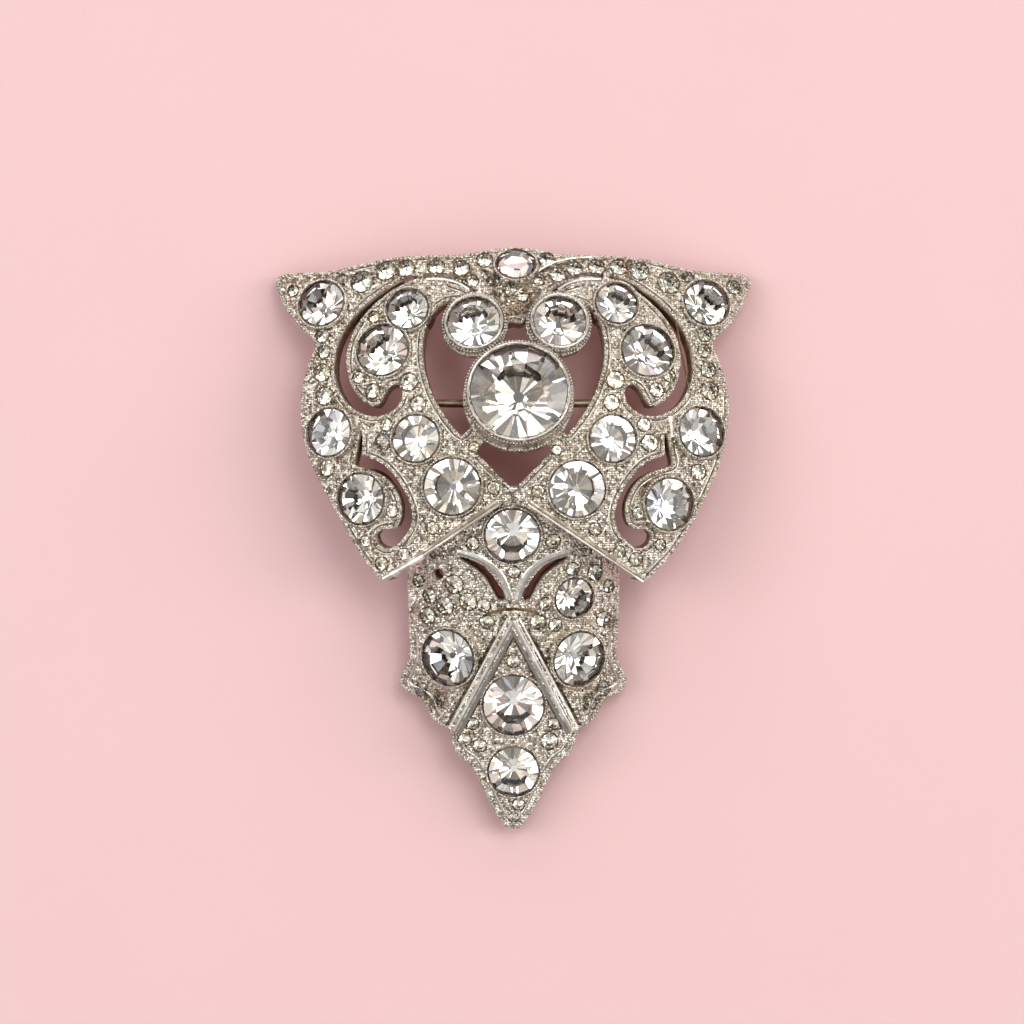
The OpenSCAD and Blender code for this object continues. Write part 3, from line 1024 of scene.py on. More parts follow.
@dataclass
class Palette:
    """The materials, each made once."""

    casting: bpy.types.Material
    beads: bpy.types.Material
    polished: bpy.types.Material
    chips: bpy.types.Material
    recess: bpy.types.Material
    gap: bpy.types.Material
    rust: bpy.types.Material
    dull: bpy.types.Material
    glass: bpy.types.Material
    foil: bpy.types.Material
    small_foil: bpy.types.Material
    pin: bpy.types.Material

    @classmethod
    def make(cls) -> "Palette":
        """Makes all the finishes of the piece.

        Returns:
            The palette.
        """
        return cls(
            casting=WornSilver().build(),
            beads=RubbedSilver().build(),
            polished=RubbedSilver(
                name="polished_silver", bright=(0.82, 0.79, 0.74), dull=(0.52, 0.47, 0.41),
                shade_size=1.1, rough=0.2
            ).build(),
            chips=RubbedSilver(
                name="glittering_chips", bright=(0.9, 0.87, 0.8), dull=(0.26, 0.22, 0.17),
                shade_size=0.42, rough=0.2
            ).build(),
            recess=DarkRecess(dark=(0.22, 0.155, 0.11), light=(0.6, 0.46, 0.35)).build(),
            # Dark glue finish that also paints the shade in the gap round each stone and in the shadow strips
            gap=DarkRecess(name="dark_glue_and_painted_shade", dark=(0.05, 0.035, 0.025), light=(0.3, 0.235, 0.17)).build(),
            # Brown tarnish finish that also paints the shade of grooves and of the small stones' seat gaps
            rust=DarkRecess(name="brown_tarnish_and_groove_shade", dark=(0.09, 0.055, 0.03), light=(0.3, 0.2, 0.11)).build(),
            dull=RubbedSilver(
                name="dull_silver", bright=(0.62, 0.54, 0.44), dull=(0.3, 0.24, 0.18),
                shade_size=0.5, rough=0.3
            ).build(),
            glass=ClearGlass().build(),
            foil=Foil().build(),
            small_foil=Foil(
                name="small_stone_foil", clean=(0.93, 0.91, 0.84), aged_share=0.6, spot_share=0.8,
                tinted=0.15, rough=0.12,
            ).build(),
            pin=DulledBrass().build(),
        )


@dataclass
class MainStones:
    """The large stones, each a piece that replaces its plain solid."""

    palette: Palette
    large: StoneCut = StoneCut(table=0.26, low_fold=16, turn_low=0.5)
    cut: StoneCut = StoneCut(table=0.28, stars=False, low_fold=12)
    leaning: StoneCut = StoneCut(table=0.3, stars=False, low_fold=6, low_slope=6.0)
    large_over: float = 6.0
    seed: int = 5

    def build(self) -> dict[str, Seat]:
        """Makes the stones.

        Returns:
            The seat of each stone, by the CAD node's name.
        """
        setters = [StoneSetter(cut) for cut in (self.cut, self.large, self.leaning)]
        plain, large, leaning = setters
        chance = random.Random(self.seed)
        slots = {part["node"]: part["material_slot"] for part in frame["record"]["subparts"]}
        seats: dict[str, Seat] = {}
        for name in sorted(frame["nodes"]):
            if slots.get(name) != "main_stones":
                continue
            seat = seats_of(name, self.cut.point)[0]
            bm = bmesh.new()
            chosen = large if seat.diameter > self.large_over else plain
            if name == "top_stone":
                chosen = leaning
            chosen.add(bm, seat, chance.uniform(0, math.pi / 4))
            piece = finish_piece(bm, f"{name}_cut", [self.palette.glass, self.palette.foil])
            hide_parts(name)
            seats[name] = seat
        for setter in setters:
            setter.discard()
        return seats


@dataclass
class SmallStones:
    """The small stones, one piece for each region."""

    palette: Palette
    cut: StoneCut = StoneCut(blank_sides=16, table=0.26)
    nodes: Sequence[str] = (
        "rim_stones", "wing_stones_left", "wing_stones_right", "tail_stones", "leaf_small_stones",
    )
    spread: float = 1.1
    seed: int = 11

    def build(self) -> list[Seat]:
        """Makes the stones.

        Returns:
            The seats of all the small stones.
        """
        setter = StoneSetter(self.cut)
        chance = random.Random(self.seed)
        found: list[Seat] = []
        for name in self.nodes:
            bm = bmesh.new()
            seats = seats_of(name, self.cut.point)
            for seat in seats:
                shown = Seat(seat.centre, seat.axis, seat.diameter * self.spread)
                setter.add(bm, shown, chance.uniform(0, math.pi / 4))
            looks = [self.palette.glass, self.palette.small_foil]
            piece = finish_piece(bm, f"{name}_cut", looks)
            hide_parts(name)
            found += seats
        setter.discard()
        return found


def add_bead(bm: Mesh, place: Vector, radius: float) -> None:
    """Adds one small ball of 20 faces."""
    bmesh.ops.create_icosphere(bm, subdivisions=1, radius=radius, matrix=Matrix.Translation(place))


# Heights of the bezels that stand on the dome, in millimetres
RAISED = {"centre_stone": 2.0, "bezel_stone_left": 0.9, "bezel_stone_right": 0.9}


@dataclass
class Settings:
    """Polished rings round the raised bezels, and dark rings and rows of beads round each stone."""

    palette: Palette
    ring_offset: float = 0.22
    ring_w: float = 0.1
    ring_lift: float = 0.17
    gap_offset: float = 0.055
    gap_w: float = 0.1
    gap_lift: float = 0.08
    bead_r: float = 0.12
    bead_pitch: float = 0.28
    bead_offset: float = 0.42
    bead_lift: float = 0.06
    bezel_rows: tuple[Span, Span] = ((0.03, -0.08), (0.1, 0.08))
    small_offset: float = 0.1
    small_bead_r: float = 0.11
    small_bead_lift: float = 0.08
    small_turn: float = 7.0
    few_below: float = 1.15
    few_beads: int = 4
    many_beads: int = 5
    # Size of the dark ring at each small stone's edge, which paints the shade of its seat gap and stands for
    # tarnish
    dark_ring_inset: float = 0.02
    dark_ring_w: float = 0.07
    wire_sides: int = 8
    least_steps: int = 24
    steps_per_mm: int = 18

    def _ring(self, bm: Mesh, seat: Seat, radius: float, lift: float, width: float) -> None:
        """Adds a ring of round wire about a stone's axis.

        Args:
            bm: the mesh that it joins.
            seat: the stone's seat.
            radius: radius of the ring's middle.
            lift: height over the stone's widest line.
            width: half the wire's thickness.
        """
        place = Matrix.Translation(seat.centre) @ turned_to(seat.axis)
        profile = bmesh.ops.create_circle(
            bm, segments=self.wire_sides, radius=width,
            matrix=place @ Matrix.Translation((radius, 0, lift)) @ Matrix.Rotation(math.pi / 2, 4, "X"),
        )["verts"]
        edges = list({e for v in profile for e in v.link_edges})
        bmesh.ops.spin(
            bm, geom=profile + edges, cent=seat.centre, axis=seat.axis, angle=2 * math.pi,
            steps=max(self.least_steps, int(radius * self.steps_per_mm)), use_merge=True,
        )

    def _bead_row(
        self, bm: Mesh, seat: Seat, radius: float, lift: float, count: int = 0, spin: float = 0.0
    ) -> None:
        """Adds a row of beads about a stone's axis.

        Args:
            bm: the mesh that it joins.
            seat: the stone's seat.
            radius: radius of the row.
            lift: height over the stone's widest line.
            count: number of small beads, or 0 for a full row of the usual ones.
            spin: where the row starts, in radians.
        """
        size = self.small_bead_r if count else self.bead_r
        count = count or int(2 * math.pi * radius / self.bead_pitch)
        turn = turned_to(seat.axis, spin)
        for i in range(count):
            angle = 2 * math.pi * i / count
            spot = turn @ Vector((radius * math.cos(angle), radius * math.sin(angle), lift))
            add_bead(bm, seat.centre + spot, size)

    def build(self, main: dict[str, Seat], small: list[Seat]) -> None:
        """Makes rings and beads.

        Args:
            main: seats of the large stones.
            small: seats of the small stones.
        """
        rings, gaps, beads, tarnish_and_shade_rings = bmesh.new(), bmesh.new(), bmesh.new(), bmesh.new()
        for name, seat in sorted(main.items()):
            radius = seat.diameter / 2
            # Painted shade: a dark ring in the gap round each large stone stands for the gap's shade, and for
            # glue
            self._ring(gaps, seat, radius + self.gap_offset, self.gap_lift, self.gap_w)
            if name in RAISED:
                self._ring(rings, seat, radius + self.ring_offset, self.ring_lift, self.ring_w)
                for (out, lift), drop in zip(self.bezel_rows, (0.0, RAISED[name])):
                    self._bead_row(beads, seat, radius + self.bead_offset + out, lift - drop)
            else:
                self._bead_row(beads, seat, radius + self.ring_offset, self.bead_lift)
        for seat in small:
            radius = seat.diameter / 2 + self.small_offset
            # Painted shade: a dark ring at the small stone's edge stands for the shade of its seat gap, and
            # for tarnish
            self._ring(tarnish_and_shade_rings, seat, radius - self.dark_ring_inset, 0.0, self.dark_ring_w)
            count = self.few_beads if seat.diameter < self.few_below else self.many_beads
            self._bead_row(beads, seat, radius, self.small_bead_lift, count, seat.centre.x * self.small_turn)
        for name, bm, material in (
            ("glue_and_gap_shade_lines", gaps, self.palette.gap), ("tarnish_and_gap_shade_rings", tarnish_and_shade_rings, self.palette.rust),
            ("stone_rings", rings, self.palette.polished), ("setting_beads", beads, self.palette.beads),
        ):
            finish_piece(bm, name, [material], smooth=True, outward=bm is not beads)


@dataclass(frozen=True)
class RimPoint:
    """A point on a sharp upper edge of the casting."""

    place: Vector
    inward: Vector
    normal: Vector


@dataclass
class Face:
    """The casting's upper face, read from its CAD node."""

    seats: list[Seat]
    stone_clear: float = 0.42
    small_below: float = 2.0
    small_clear: float = 0.8
    level_room: float = 0.2
    rim_match: float = 0.93
    hit_match: float = 0.9
    steep_below: float = 0.35
    above: float = 30.0
    tree: BVHTree = field(init=False)
    chains: list[list[RimPoint]] = field(init=False)

    def __post_init__(self) -> None:
        """Reads the mesh once."""
        bm = merged_copy("casting")
        bm.normal_update()
        self.tree = BVHTree.FromBMesh(bm)
        self.chains = self._rims(bm)
        bm.free()

    def near_stone(self, place: Vector, clear: float) -> bool:
        """Whether a place lies on a stone or its setting.

        Args:
            place: the place in millimetres.
            clear: room round a large stone.

        Returns:
            True where it does.
        """
        for seat in self.seats:
            room = clear if seat.diameter > self.small_below else clear * self.small_clear
            if (place - seat.centre).length < seat.diameter / 2 + room:
                return True
        return False

    def _follows(self, x: float, y: float, z: float, normal: Vector, match: float) -> bool:
        """Whether a surface at a place follows the dome, tail or leaf.

        Args:
            x: place to the right.
            y: place towards the rim.
            z: height.
            normal: the surface's normal.
            match: least cosine between the two normals.

        Returns:
            True where it does.
        """
        panel = FORM.panel_at(x, y)
        level = z - FORM.height(panel, x, y)
        return abs(level) < self.level_room and normal.dot(FORM.normal(panel, x, y)) > match

    def _rims(self, bm: Mesh) -> list[list[RimPoint]]:
        """Walks the edges between the face and the walls.

        Args:
            bm: the casting's joined mesh.

        Returns:
            Chains of points, each with its direction into the face.
        """
        chosen: dict[bmesh.types.BMEdge, bmesh.types.BMFace] = {}
        for edge in bm.edges:
            if len(edge.link_faces) != 2:
                continue
            upper = [
                f for f in edge.link_faces if self._follows(*f.calc_center_median(), f.normal, self.rim_match)
            ]
            if len(upper) != 1:
                continue
            other = next(f for f in edge.link_faces if f is not upper[0])
            middle = (edge.verts[0].co + edge.verts[1].co) / 2
            steep = abs(other.normal.z) < self.steep_below and other.calc_center_median().z < middle.z
            if steep and not self.near_stone(middle, self.stone_clear):
                chosen[edge] = upper[0]
        chains: list[list[RimPoint]] = []
        left = set(chosen)
        while left:
            first = min(left, key=lambda e: e.index)
            left.discard(first)
            line = [first.verts[0], first.verts[1]]
            faces = [chosen[first]]
            for end in (1, 0):
                while True:
                    tip = line[-1] if end else line[0]
                    onward = [e for e in tip.link_edges if e in left]
                    if not onward:
                        break
                    edge = onward[0]
                    left.discard(edge)
                    if end:
                        line.append(edge.other_vert(tip))
                        faces.append(chosen[edge])
                    else:
                        line.insert(0, edge.other_vert(tip))
                        faces.insert(0, chosen[edge])
            chains.append(self._points(line, faces))
        return chains

    @staticmethod
    def _points(line: list[bmesh.types.BMVert], faces: list[bmesh.types.BMFace]) -> list[RimPoint]:
        """Turns a walked line into points with directions.

        Args:
            line: the line's vertices in order.
            faces: the face beside each of its edges.

        Returns:
            One point for each vertex.
        """
        points: list[RimPoint] = []
        for i, vert in enumerate(line):
            face = faces[min(i, len(faces) - 1)]
            before, after = line[max(i - 1, 0)].co, line[min(i + 1, len(line) - 1)].co
            along = (after - before).normalized()
            normal = face.normal.copy()
            inward = normal.cross(along).normalized()
            if inward.dot(face.calc_center_median() - vert.co) < 0:
                inward = -inward
            points.append(RimPoint(vert.co.copy(), inward, normal))
        return points

    @staticmethod
    def resample(chain: list[RimPoint], pitch: float) -> list[RimPoint]:
        """Points at an even pitch along a chain.

        Args:
            chain: the chain's own points.
            pitch: distance between two new points.

        Returns:
            The new points.
        """
        if len(chain) < 2:
            return []
        steps = [(b.place - a.place).length for a, b in zip(chain, chain[1:])]
        total = sum(steps)
        count = max(1, round(total / pitch))
        result: list[RimPoint] = []
        at, passed = 0, 0.0
        for i in range(count + 1):
            goal = total * i / count
            while at < len(steps) - 1 and passed + steps[at] < goal:
                passed += steps[at]
                at += 1
            share = 0.0 if steps[at] < 1e-6 else min(1.0, (goal - passed) / steps[at])
            a, b = chain[at], chain[at + 1]
            result.append(
                RimPoint(
                    a.place.lerp(b.place, share),
                    a.inward.lerp(b.inward, share),
                    a.normal.lerp(b.normal, share),
                )
            )
        return result

    def hit(self, x: float, y: float) -> Optional[tuple[Vector, Vector]]:
        """The casting's face over a place in plan.

        Args:
            x: place to the right.
            y: place towards the rim.

        Returns:
            The point and the face's normal, or None where there is no plain face.
        """
        place, normal, _, _ = self.tree.ray_cast(Vector((x, y, self.above)), Vector((0, 0, -1)))
        if place is None or not self._follows(x, y, place.z, normal, self.hit_match):
            return None
        return place, normal


def smooth_line(knots: Knots, steps: int = 6) -> list[Span]:
    """Points of a smooth curve through knots in plan.

    Args:
        knots: places that the curve passes.
        steps: points for each stretch between two knots.

    Returns:
        The curve's points, with both ends.
    """
    last = len(knots) - 1
    points: list[Span] = []
    for i in range(last):
        a, b, c, d = (Vector(knots[min(max(n, 0), last)]) for n in (i - 1, i, i + 1, i + 2))
        for k in range(steps):
            t = k / steps
            spot = 2 * b + (c - a) * t + (2 * a - 5 * b + 4 * c - d) * t**2 + (3 * b - a - 3 * c + d) * t**3
            points.append((0.5 * spot.x, 0.5 * spot.y))
    points.append(knots[last])
    return points


def sweep(bm: Mesh, profile: Knots, frames: Sequence[Matrix]) -> None:
    """Draws a closed outline along a row of frames and closes both ends.

    Args:
        bm: the mesh that it joins.
        profile: corners of the outline, across and up.
        frames: places of the outline, with X across and Z up.
    """
    ring = [bm.verts.new(frames[0] @ Vector((across, 0.0, up))) for across, up in profile]
    edges = [bm.edges.new((a, b)) for a, b in zip(ring, ring[1:] + ring[:1])]
    bmesh.ops.contextual_create(bm, geom=edges)
    for before, after in zip(frames, frames[1:]):
        made = bmesh.ops.extrude_edge_only(bm, edges=edges)["geom"]
        moved = {v for v in made if isinstance(v, bmesh.types.BMVert)}
        bmesh.ops.transform(bm, matrix=after @ before.inverted(), verts=list(moved))
        edges = [e for e in made if isinstance(e, bmesh.types.BMEdge) and moved.issuperset(e.verts)]
    bmesh.ops.contextual_create(bm, geom=edges)


def line_frames(line: Knots, rise: float, panel: Optional[Panel] = None) -> list[Matrix]:
    """Frames along a line on the casting's face.

    Args:
        line: points in plan.
        rise: lift over the face.
        panel: the surface that the line lies on, or None for the one under each point.

    Returns:
        A frame for each point, with Y along the line and Z out of the face.
    """
    places = [FORM.on(x, y, rise, panel) for x, y in line]
    frames = []
    for i, (place, (x, y)) in enumerate(zip(places, line)):
        up = FORM.normal(panel or FORM.panel_at(x, y), x, y)
        along = (places[min(i + 1, len(places) - 1)] - places[max(i - 1, 0)]).normalized()
        across = along.cross(up).normalized()
        turn = Matrix((across, along, across.cross(along))).transposed()
        frames.append(Matrix.Translation(place) @ turn.to_4x4())
    return frames


def crowned(width: float, deep: float, crown: float) -> list[Span]:
    """Outline of a strip with a rounded back.

    Args:
        width: the strip's width.
        deep: how far it reaches under its crest.
        crown: fall of the back towards its sides.

    Returns:
        The outline's corners.
    """
    half = width / 2
    shoulder, fall = 0.72 * half, 0.4 * crown
    top = [(half, -crown), (shoulder, -fall), (0.0, 0.0), (-shoulder, -fall), (-half, -crown)]
    return [*top, (-half, -deep), (half, -deep)]


@dataclass
class BeadedEdges:
    """Rows of beads along the casting's sharp edges, and the leaning walls inside its openings."""

    palette: Palette
    face: Face
    seed: int = 3
    shortest: float = 0.6
    pitch: float = 0.32
    bead_r: float = 0.13
    bead_spread: Span = (0.88, 1.12)
    inset: float = 0.15
    # Place and size of the dark strip that paints the shade of a groove inside the beaded row
    groove_shadow_inset: float = 0.36
    groove_shadow_w: float = 0.16
    groove_shadow_rise: float = 0.015
    rail_inset: float = 0.51
    rail_w: float = 0.14
    rail_rise: float = 0.05
    line_pitch: float = 0.3
    line_clear: float = 0.3
    line_deep: float = 0.15
    line_crown: float = 0.04
    wall: float = 1.5
    wall_start: float = 0.03
    wall_pitch: float = 0.45
    wall_skin: float = 0.05
    vee_room: float = 1.1
    vee_reach: float = 11.2
    horn_x: float = 14.0
    horn_y: float = 12.5
    side_x: float = -15.5

    def _smooth_edge(self, place: Vector) -> bool:
        """Whether an edge belongs to the polished vee."""
        gap = place.y - (FORM.vee_foot - FORM.vee_fall * abs(place.x))
        return abs(gap) < self.vee_room and abs(place.x) < self.vee_reach

    def _plain_edge(self, place: Vector) -> bool:
        """Whether an edge belongs to a horn, the left wing's outer side or the tail, which have no rail."""
        horn = abs(place.x) > self.horn_x and place.y > self.horn_y
        return horn or place.x < self.side_x or FORM.panel_at(place.x, place.y) is not Panel.DOME

    def build(self) -> None:
        """Makes beads and walls."""
        beads, walls, groove_shadows, rails = bmesh.new(), bmesh.new(), bmesh.new(), bmesh.new()
        chance = random.Random(self.seed)
        for chain in self.face.chains:
            if sum((b.place - a.place).length for a, b in zip(chain, chain[1:])) < self.shortest:
                continue
            for point in Face.resample(chain, self.pitch):
                if self._smooth_edge(point.place):
                    continue
                size = self.bead_r * chance.uniform(*self.bead_spread)
                add_bead(beads, point.place + point.inward * self.inset, size)
            self._wall(walls, Face.resample(chain, self.wall_pitch))
            # Painted shade: a dark strip inside the beaded row stands for the shade of a groove
            self._line(groove_shadows, chain, self.groove_shadow_inset, self.groove_shadow_w, self.groove_shadow_rise)
            self._line(rails, chain, self.rail_inset, self.rail_w, self.rail_rise)
        walls.normal_update()
        bmesh.ops.solidify(walls, geom=walls.faces[:], thickness=self.wall_skin)
        for name, bm, material in (
            ("beaded_edges", beads, self.palette.beads), ("edge_groove_shadows", groove_shadows, self.palette.rust),
            ("edge_rails", rails, self.palette.beads), ("opening_walls", walls, self.palette.recess),
        ):
            finish_piece(bm, name, [material], smooth=True, outward=bm in (groove_shadows, rails))

    def _line(self, bm: Mesh, chain: list[RimPoint], inset: float, width: float, rise: float) -> None:
        """Adds thin strips beside an edge, with breaks at the stones.

        Args:
            bm: the mesh that they join.
            chain: points along the edge.
            inset: distance from the edge.
            width: a strip's width.
            rise: height of its crest over the face.
        """
        run: list[Matrix] = []
        points = Face.resample(chain, self.line_pitch)
        for i, point in enumerate(points):
            along = points[min(i + 1, len(points) - 1)].place - points[max(i - 1, 0)].place
            spot = point.place + point.inward * inset
            found = self.face.hit(spot.x, spot.y)
            good = found is not None and along.length > 1e-6
            good = good and not self.face.near_stone(spot, self.line_clear)
            if good and not self._smooth_edge(spot) and not self._plain_edge(spot):
                up = found[1]
                across = along.cross(up).normalized()
                turn = Matrix((across, up.cross(across), up)).transposed()
                run.append(Matrix.Translation(found[0] + up * rise) @ turn.to_4x4())
            if run and (not good or i == len(points) - 1):
                if len(run) > 2:
                    sweep(bm, crowned(width, self.line_deep, self.line_crown), run)
                run = []

    def _wall(self, bm: Mesh, points: list[RimPoint]) -> None:
        """Adds a wall that goes straight into the metal from an edge.

        Args:
            bm: the mesh that it joins.
            points: points along the edge.
        """
        if len(points) < 2:
            return
        closed = len(points) > 3 and (points[0].place - points[-1].place).length < 0.01
        if closed:
            points = points[:-1]
        made = []
        old_faces = set(bm.faces)
        for point in points:
            normal = FORM.normal(FORM.panel_at(point.place.x, point.place.y), point.place.x, point.place.y)
            top = bm.verts.new(point.place - normal * self.wall_start)
            made.append((top, normal))
        onward = made[1:] + made[:1] if closed else made[1:]
        edges = [bm.edges.new((a[0], b[0])) for a, b in zip(made, onward)]
        new = bmesh.ops.extrude_edge_only(bm, edges=edges)["geom"]
        low = [v for v in new if isinstance(v, bmesh.types.BMVert)]
        for vert in low:
            source = min(made, key=lambda m: (m[0].co - vert.co).length_squared)
            vert.co = vert.co - source[1] * self.wall
        new_faces = [f for f in bm.faces if f not in old_faces]
        middle = points[len(points) // 2]
        nearest = min(new_faces, key=lambda f: (f.calc_center_median() - middle.place).length_squared)
        nearest.normal_update()
        if nearest.normal.dot(middle.inward) > 0:
            bmesh.ops.reverse_faces(bm, faces=new_faces)


class Look(Enum):
    """Finish of a strip, by the palette's name for it."""

    POLISHED = "polished"
    BEADED = "beads"
    TARNISH_AND_SHADE = "rust"
    DARK = "gap"
    DULL = "dull"


@dataclass(frozen=True)
class Strip:
    """Swept strips of one piece: where they run in plan, their outline and their finish."""

    name: str
    look: Look
    lines: Sequence[Knots]
    width: float
    rise: float
    deep: float = 0.3
    crown: float = 0.08
    panel: Panel = Panel.DOME
    mirrored: bool = True
    outline: Optional[Knots] = None

    @property
    def sides(self) -> Sequence[int]:
        """Signs of X that the strip is drawn with."""
        return (1, -1) if self.mirrored else (1,)

    def build(self, palette: Palette) -> None:
        """Makes the piece.

        Args:
            palette: the materials.
        """
        bm = bmesh.new()
        profile = self.outline or crowned(self.width, self.deep, self.crown)
        for knots in self.lines:
            line = smooth_line(knots)
            for side in self.sides:
                sweep(bm, profile, line_frames([(side * x, y) for x, y in line], self.rise, self.panel))
        finish_piece(bm, self.name, [getattr(palette, self.look.value)], outward=True)


# Outline of a leaf rib: a polished bar with a thin crest between two grooves
RIB = (
    (0.62, -0.2), (0.24, -0.03), (0.2, -0.08), (0.0, 0.0), (-0.2, -0.03), (-0.24, -0.08), (-0.62, -0.22),
    (-0.62, -0.9), (0.62, -0.9),
)

STRIPS = (
    Strip(
        "vee_rails", Look.POLISHED, [[(-11.0, -3.6), (-6.0, -0.25), (-1.2, 2.97)]],
        width=0.22, rise=0.44, deep=0.9, crown=0.06,
    ),
    Strip(
        "vee_bevels", Look.DULL, [[(-11.0, -3.3), (-8.9, -1.95), (-6.05, 0.0), (-3.0, 2.12), (-1.4, 3.2)]],
        width=0.4, rise=0.37, deep=0.4, crown=0.05,
    ),
    Strip(
        "vee_bar", Look.POLISHED, [[(-7.6, -1.4), (-9.3, -2.4), (-11.1, -3.4)]],
        width=0.52, rise=0.5, deep=0.6, crown=0.12, mirrored=False,
    ),
    Strip(
        "leaf_ribs", Look.POLISHED, [[(-5.08, -16.45), (-2.54, -11.7), (0.0, -6.95)]],
        width=1.2, rise=0.56, panel=Panel.LEAF, outline=RIB,
    ),
    Strip(
        "rib_shadows", Look.DARK, [[(-5.72, -16.05), (-3.45, -11.8), (-1.65, -8.4)]],
        width=0.26, rise=0.07, crown=0.02, panel=Panel.TAIL,
    ),
    # Painted shade: dark strips on the leaf beside the ribs stand for the shade of grooves
    Strip(
        "rib_groove_shadows", Look.TARNISH_AND_SHADE, [[(-4.2, -16.3), (-2.1, -12.4), (0.0, -8.45)]],
        width=0.16, rise=0.03, crown=0.02, panel=Panel.LEAF,
    ),
    Strip(
        "petal_bands", Look.BEADED,
        [[(-0.3, -5.2), (-0.98, -3.4), (-1.75, -2.5), (-2.8, -1.78), (-3.9, -1.33), (-4.8, -1.1)]],
        width=0.66, rise=0.16, deep=0.5, crown=0.1, panel=Panel.TAIL,
    ),
    # Painted shade: a dark strip along the arch over the leaf's apex stands for the shade of a groove
    Strip(
        "arch_groove_shadow", Look.TARNISH_AND_SHADE, [[(-2.75, -6.7), (-1.9, -6.35), (-1.0, -6.08), (0.0, -5.98)]],
        width=0.26, rise=0.05, crown=0.02, panel=Panel.TAIL,
    ),
    Strip(
        "lobe_ridges", Look.BEADED,
        [[(-8.35, -8.0), (-8.2, -10.1), (-8.55, -11.2), (-8.95, -12.2), (-8.6, -12.65), (-7.75, -13.0),
          (-7.0, -13.6), (-6.55, -14.6), (-6.1, -15.2)]],
        width=0.24, rise=0.12, panel=Panel.TAIL,
    ),
    Strip(
        "leaf_ridges", Look.BEADED,
        [[(-4.5, -17.5), (-4.1, -18.15), (-3.3, -18.75), (-2.65, -19.7), (-2.1, -20.9), (-1.55, -22.1),
          (-0.95, -23.3), (-0.3, -24.1)]],
        width=0.24, rise=0.12, panel=Panel.LEAF,
    ),
    Strip(
        "collar_ridges", Look.POLISHED,
        [[(-1.35, 23.2), (-0.91, 22.7), (-0.52, 22.0), (-0.15, 20.95)],
         [(0.1, 20.95), (0.55, 21.35), (1.04, 21.9), (1.51, 22.4), (1.98, 22.86), (2.6, 23.3), (3.38, 23.7),
          (4.5, 24.0), (5.28, 24.12), (6.7, 24.2)]],
        width=0.22, rise=0.2, mirrored=False,
    ),
    # Painted shadow: dark strips under the collar's ridges
    Strip(
        "collar_shadows", Look.DARK,
        [[(1.2, 21.85), (1.74, 22.4), (2.6, 23.0), (4.0, 23.55), (5.2, 23.8)],
         [(-2.94, 23.24), (-2.31, 22.93), (-1.85, 22.54), (-1.61, 22.08), (-1.69, 21.3), (-1.3, 20.5),
          (-0.99, 20.1)],
         [(2.29, 21.5), (2.06, 20.98), (1.36, 20.05), (0.96, 19.4), (0.57, 18.87)]],
        width=0.28, rise=0.07, crown=0.02, mirrored=False,
    ),
    # Painted shadow: dark strips under the arcs' lips
    Strip(
        "arc_shadows", Look.DARK, [[(-7.74, 22.64), (-6.3, 22.74), (-4.97, 22.46), (-3.95, 21.95)]],
        width=0.36, rise=0.07, crown=0.02,
    ),
    Strip(
        "arc_lips", Look.POLISHED, [[(-7.5, 22.33), (-5.95, 22.3), (-4.65, 21.92), (-3.8, 21.4)]],
        width=0.24, rise=0.12,
    ),
    Strip(
        "band_struts", Look.POLISHED, [[(-13.46, 10.55), (-13.6, 9.7), (-13.72, 8.75)]],
        width=0.46, rise=0.14,
    ),
)


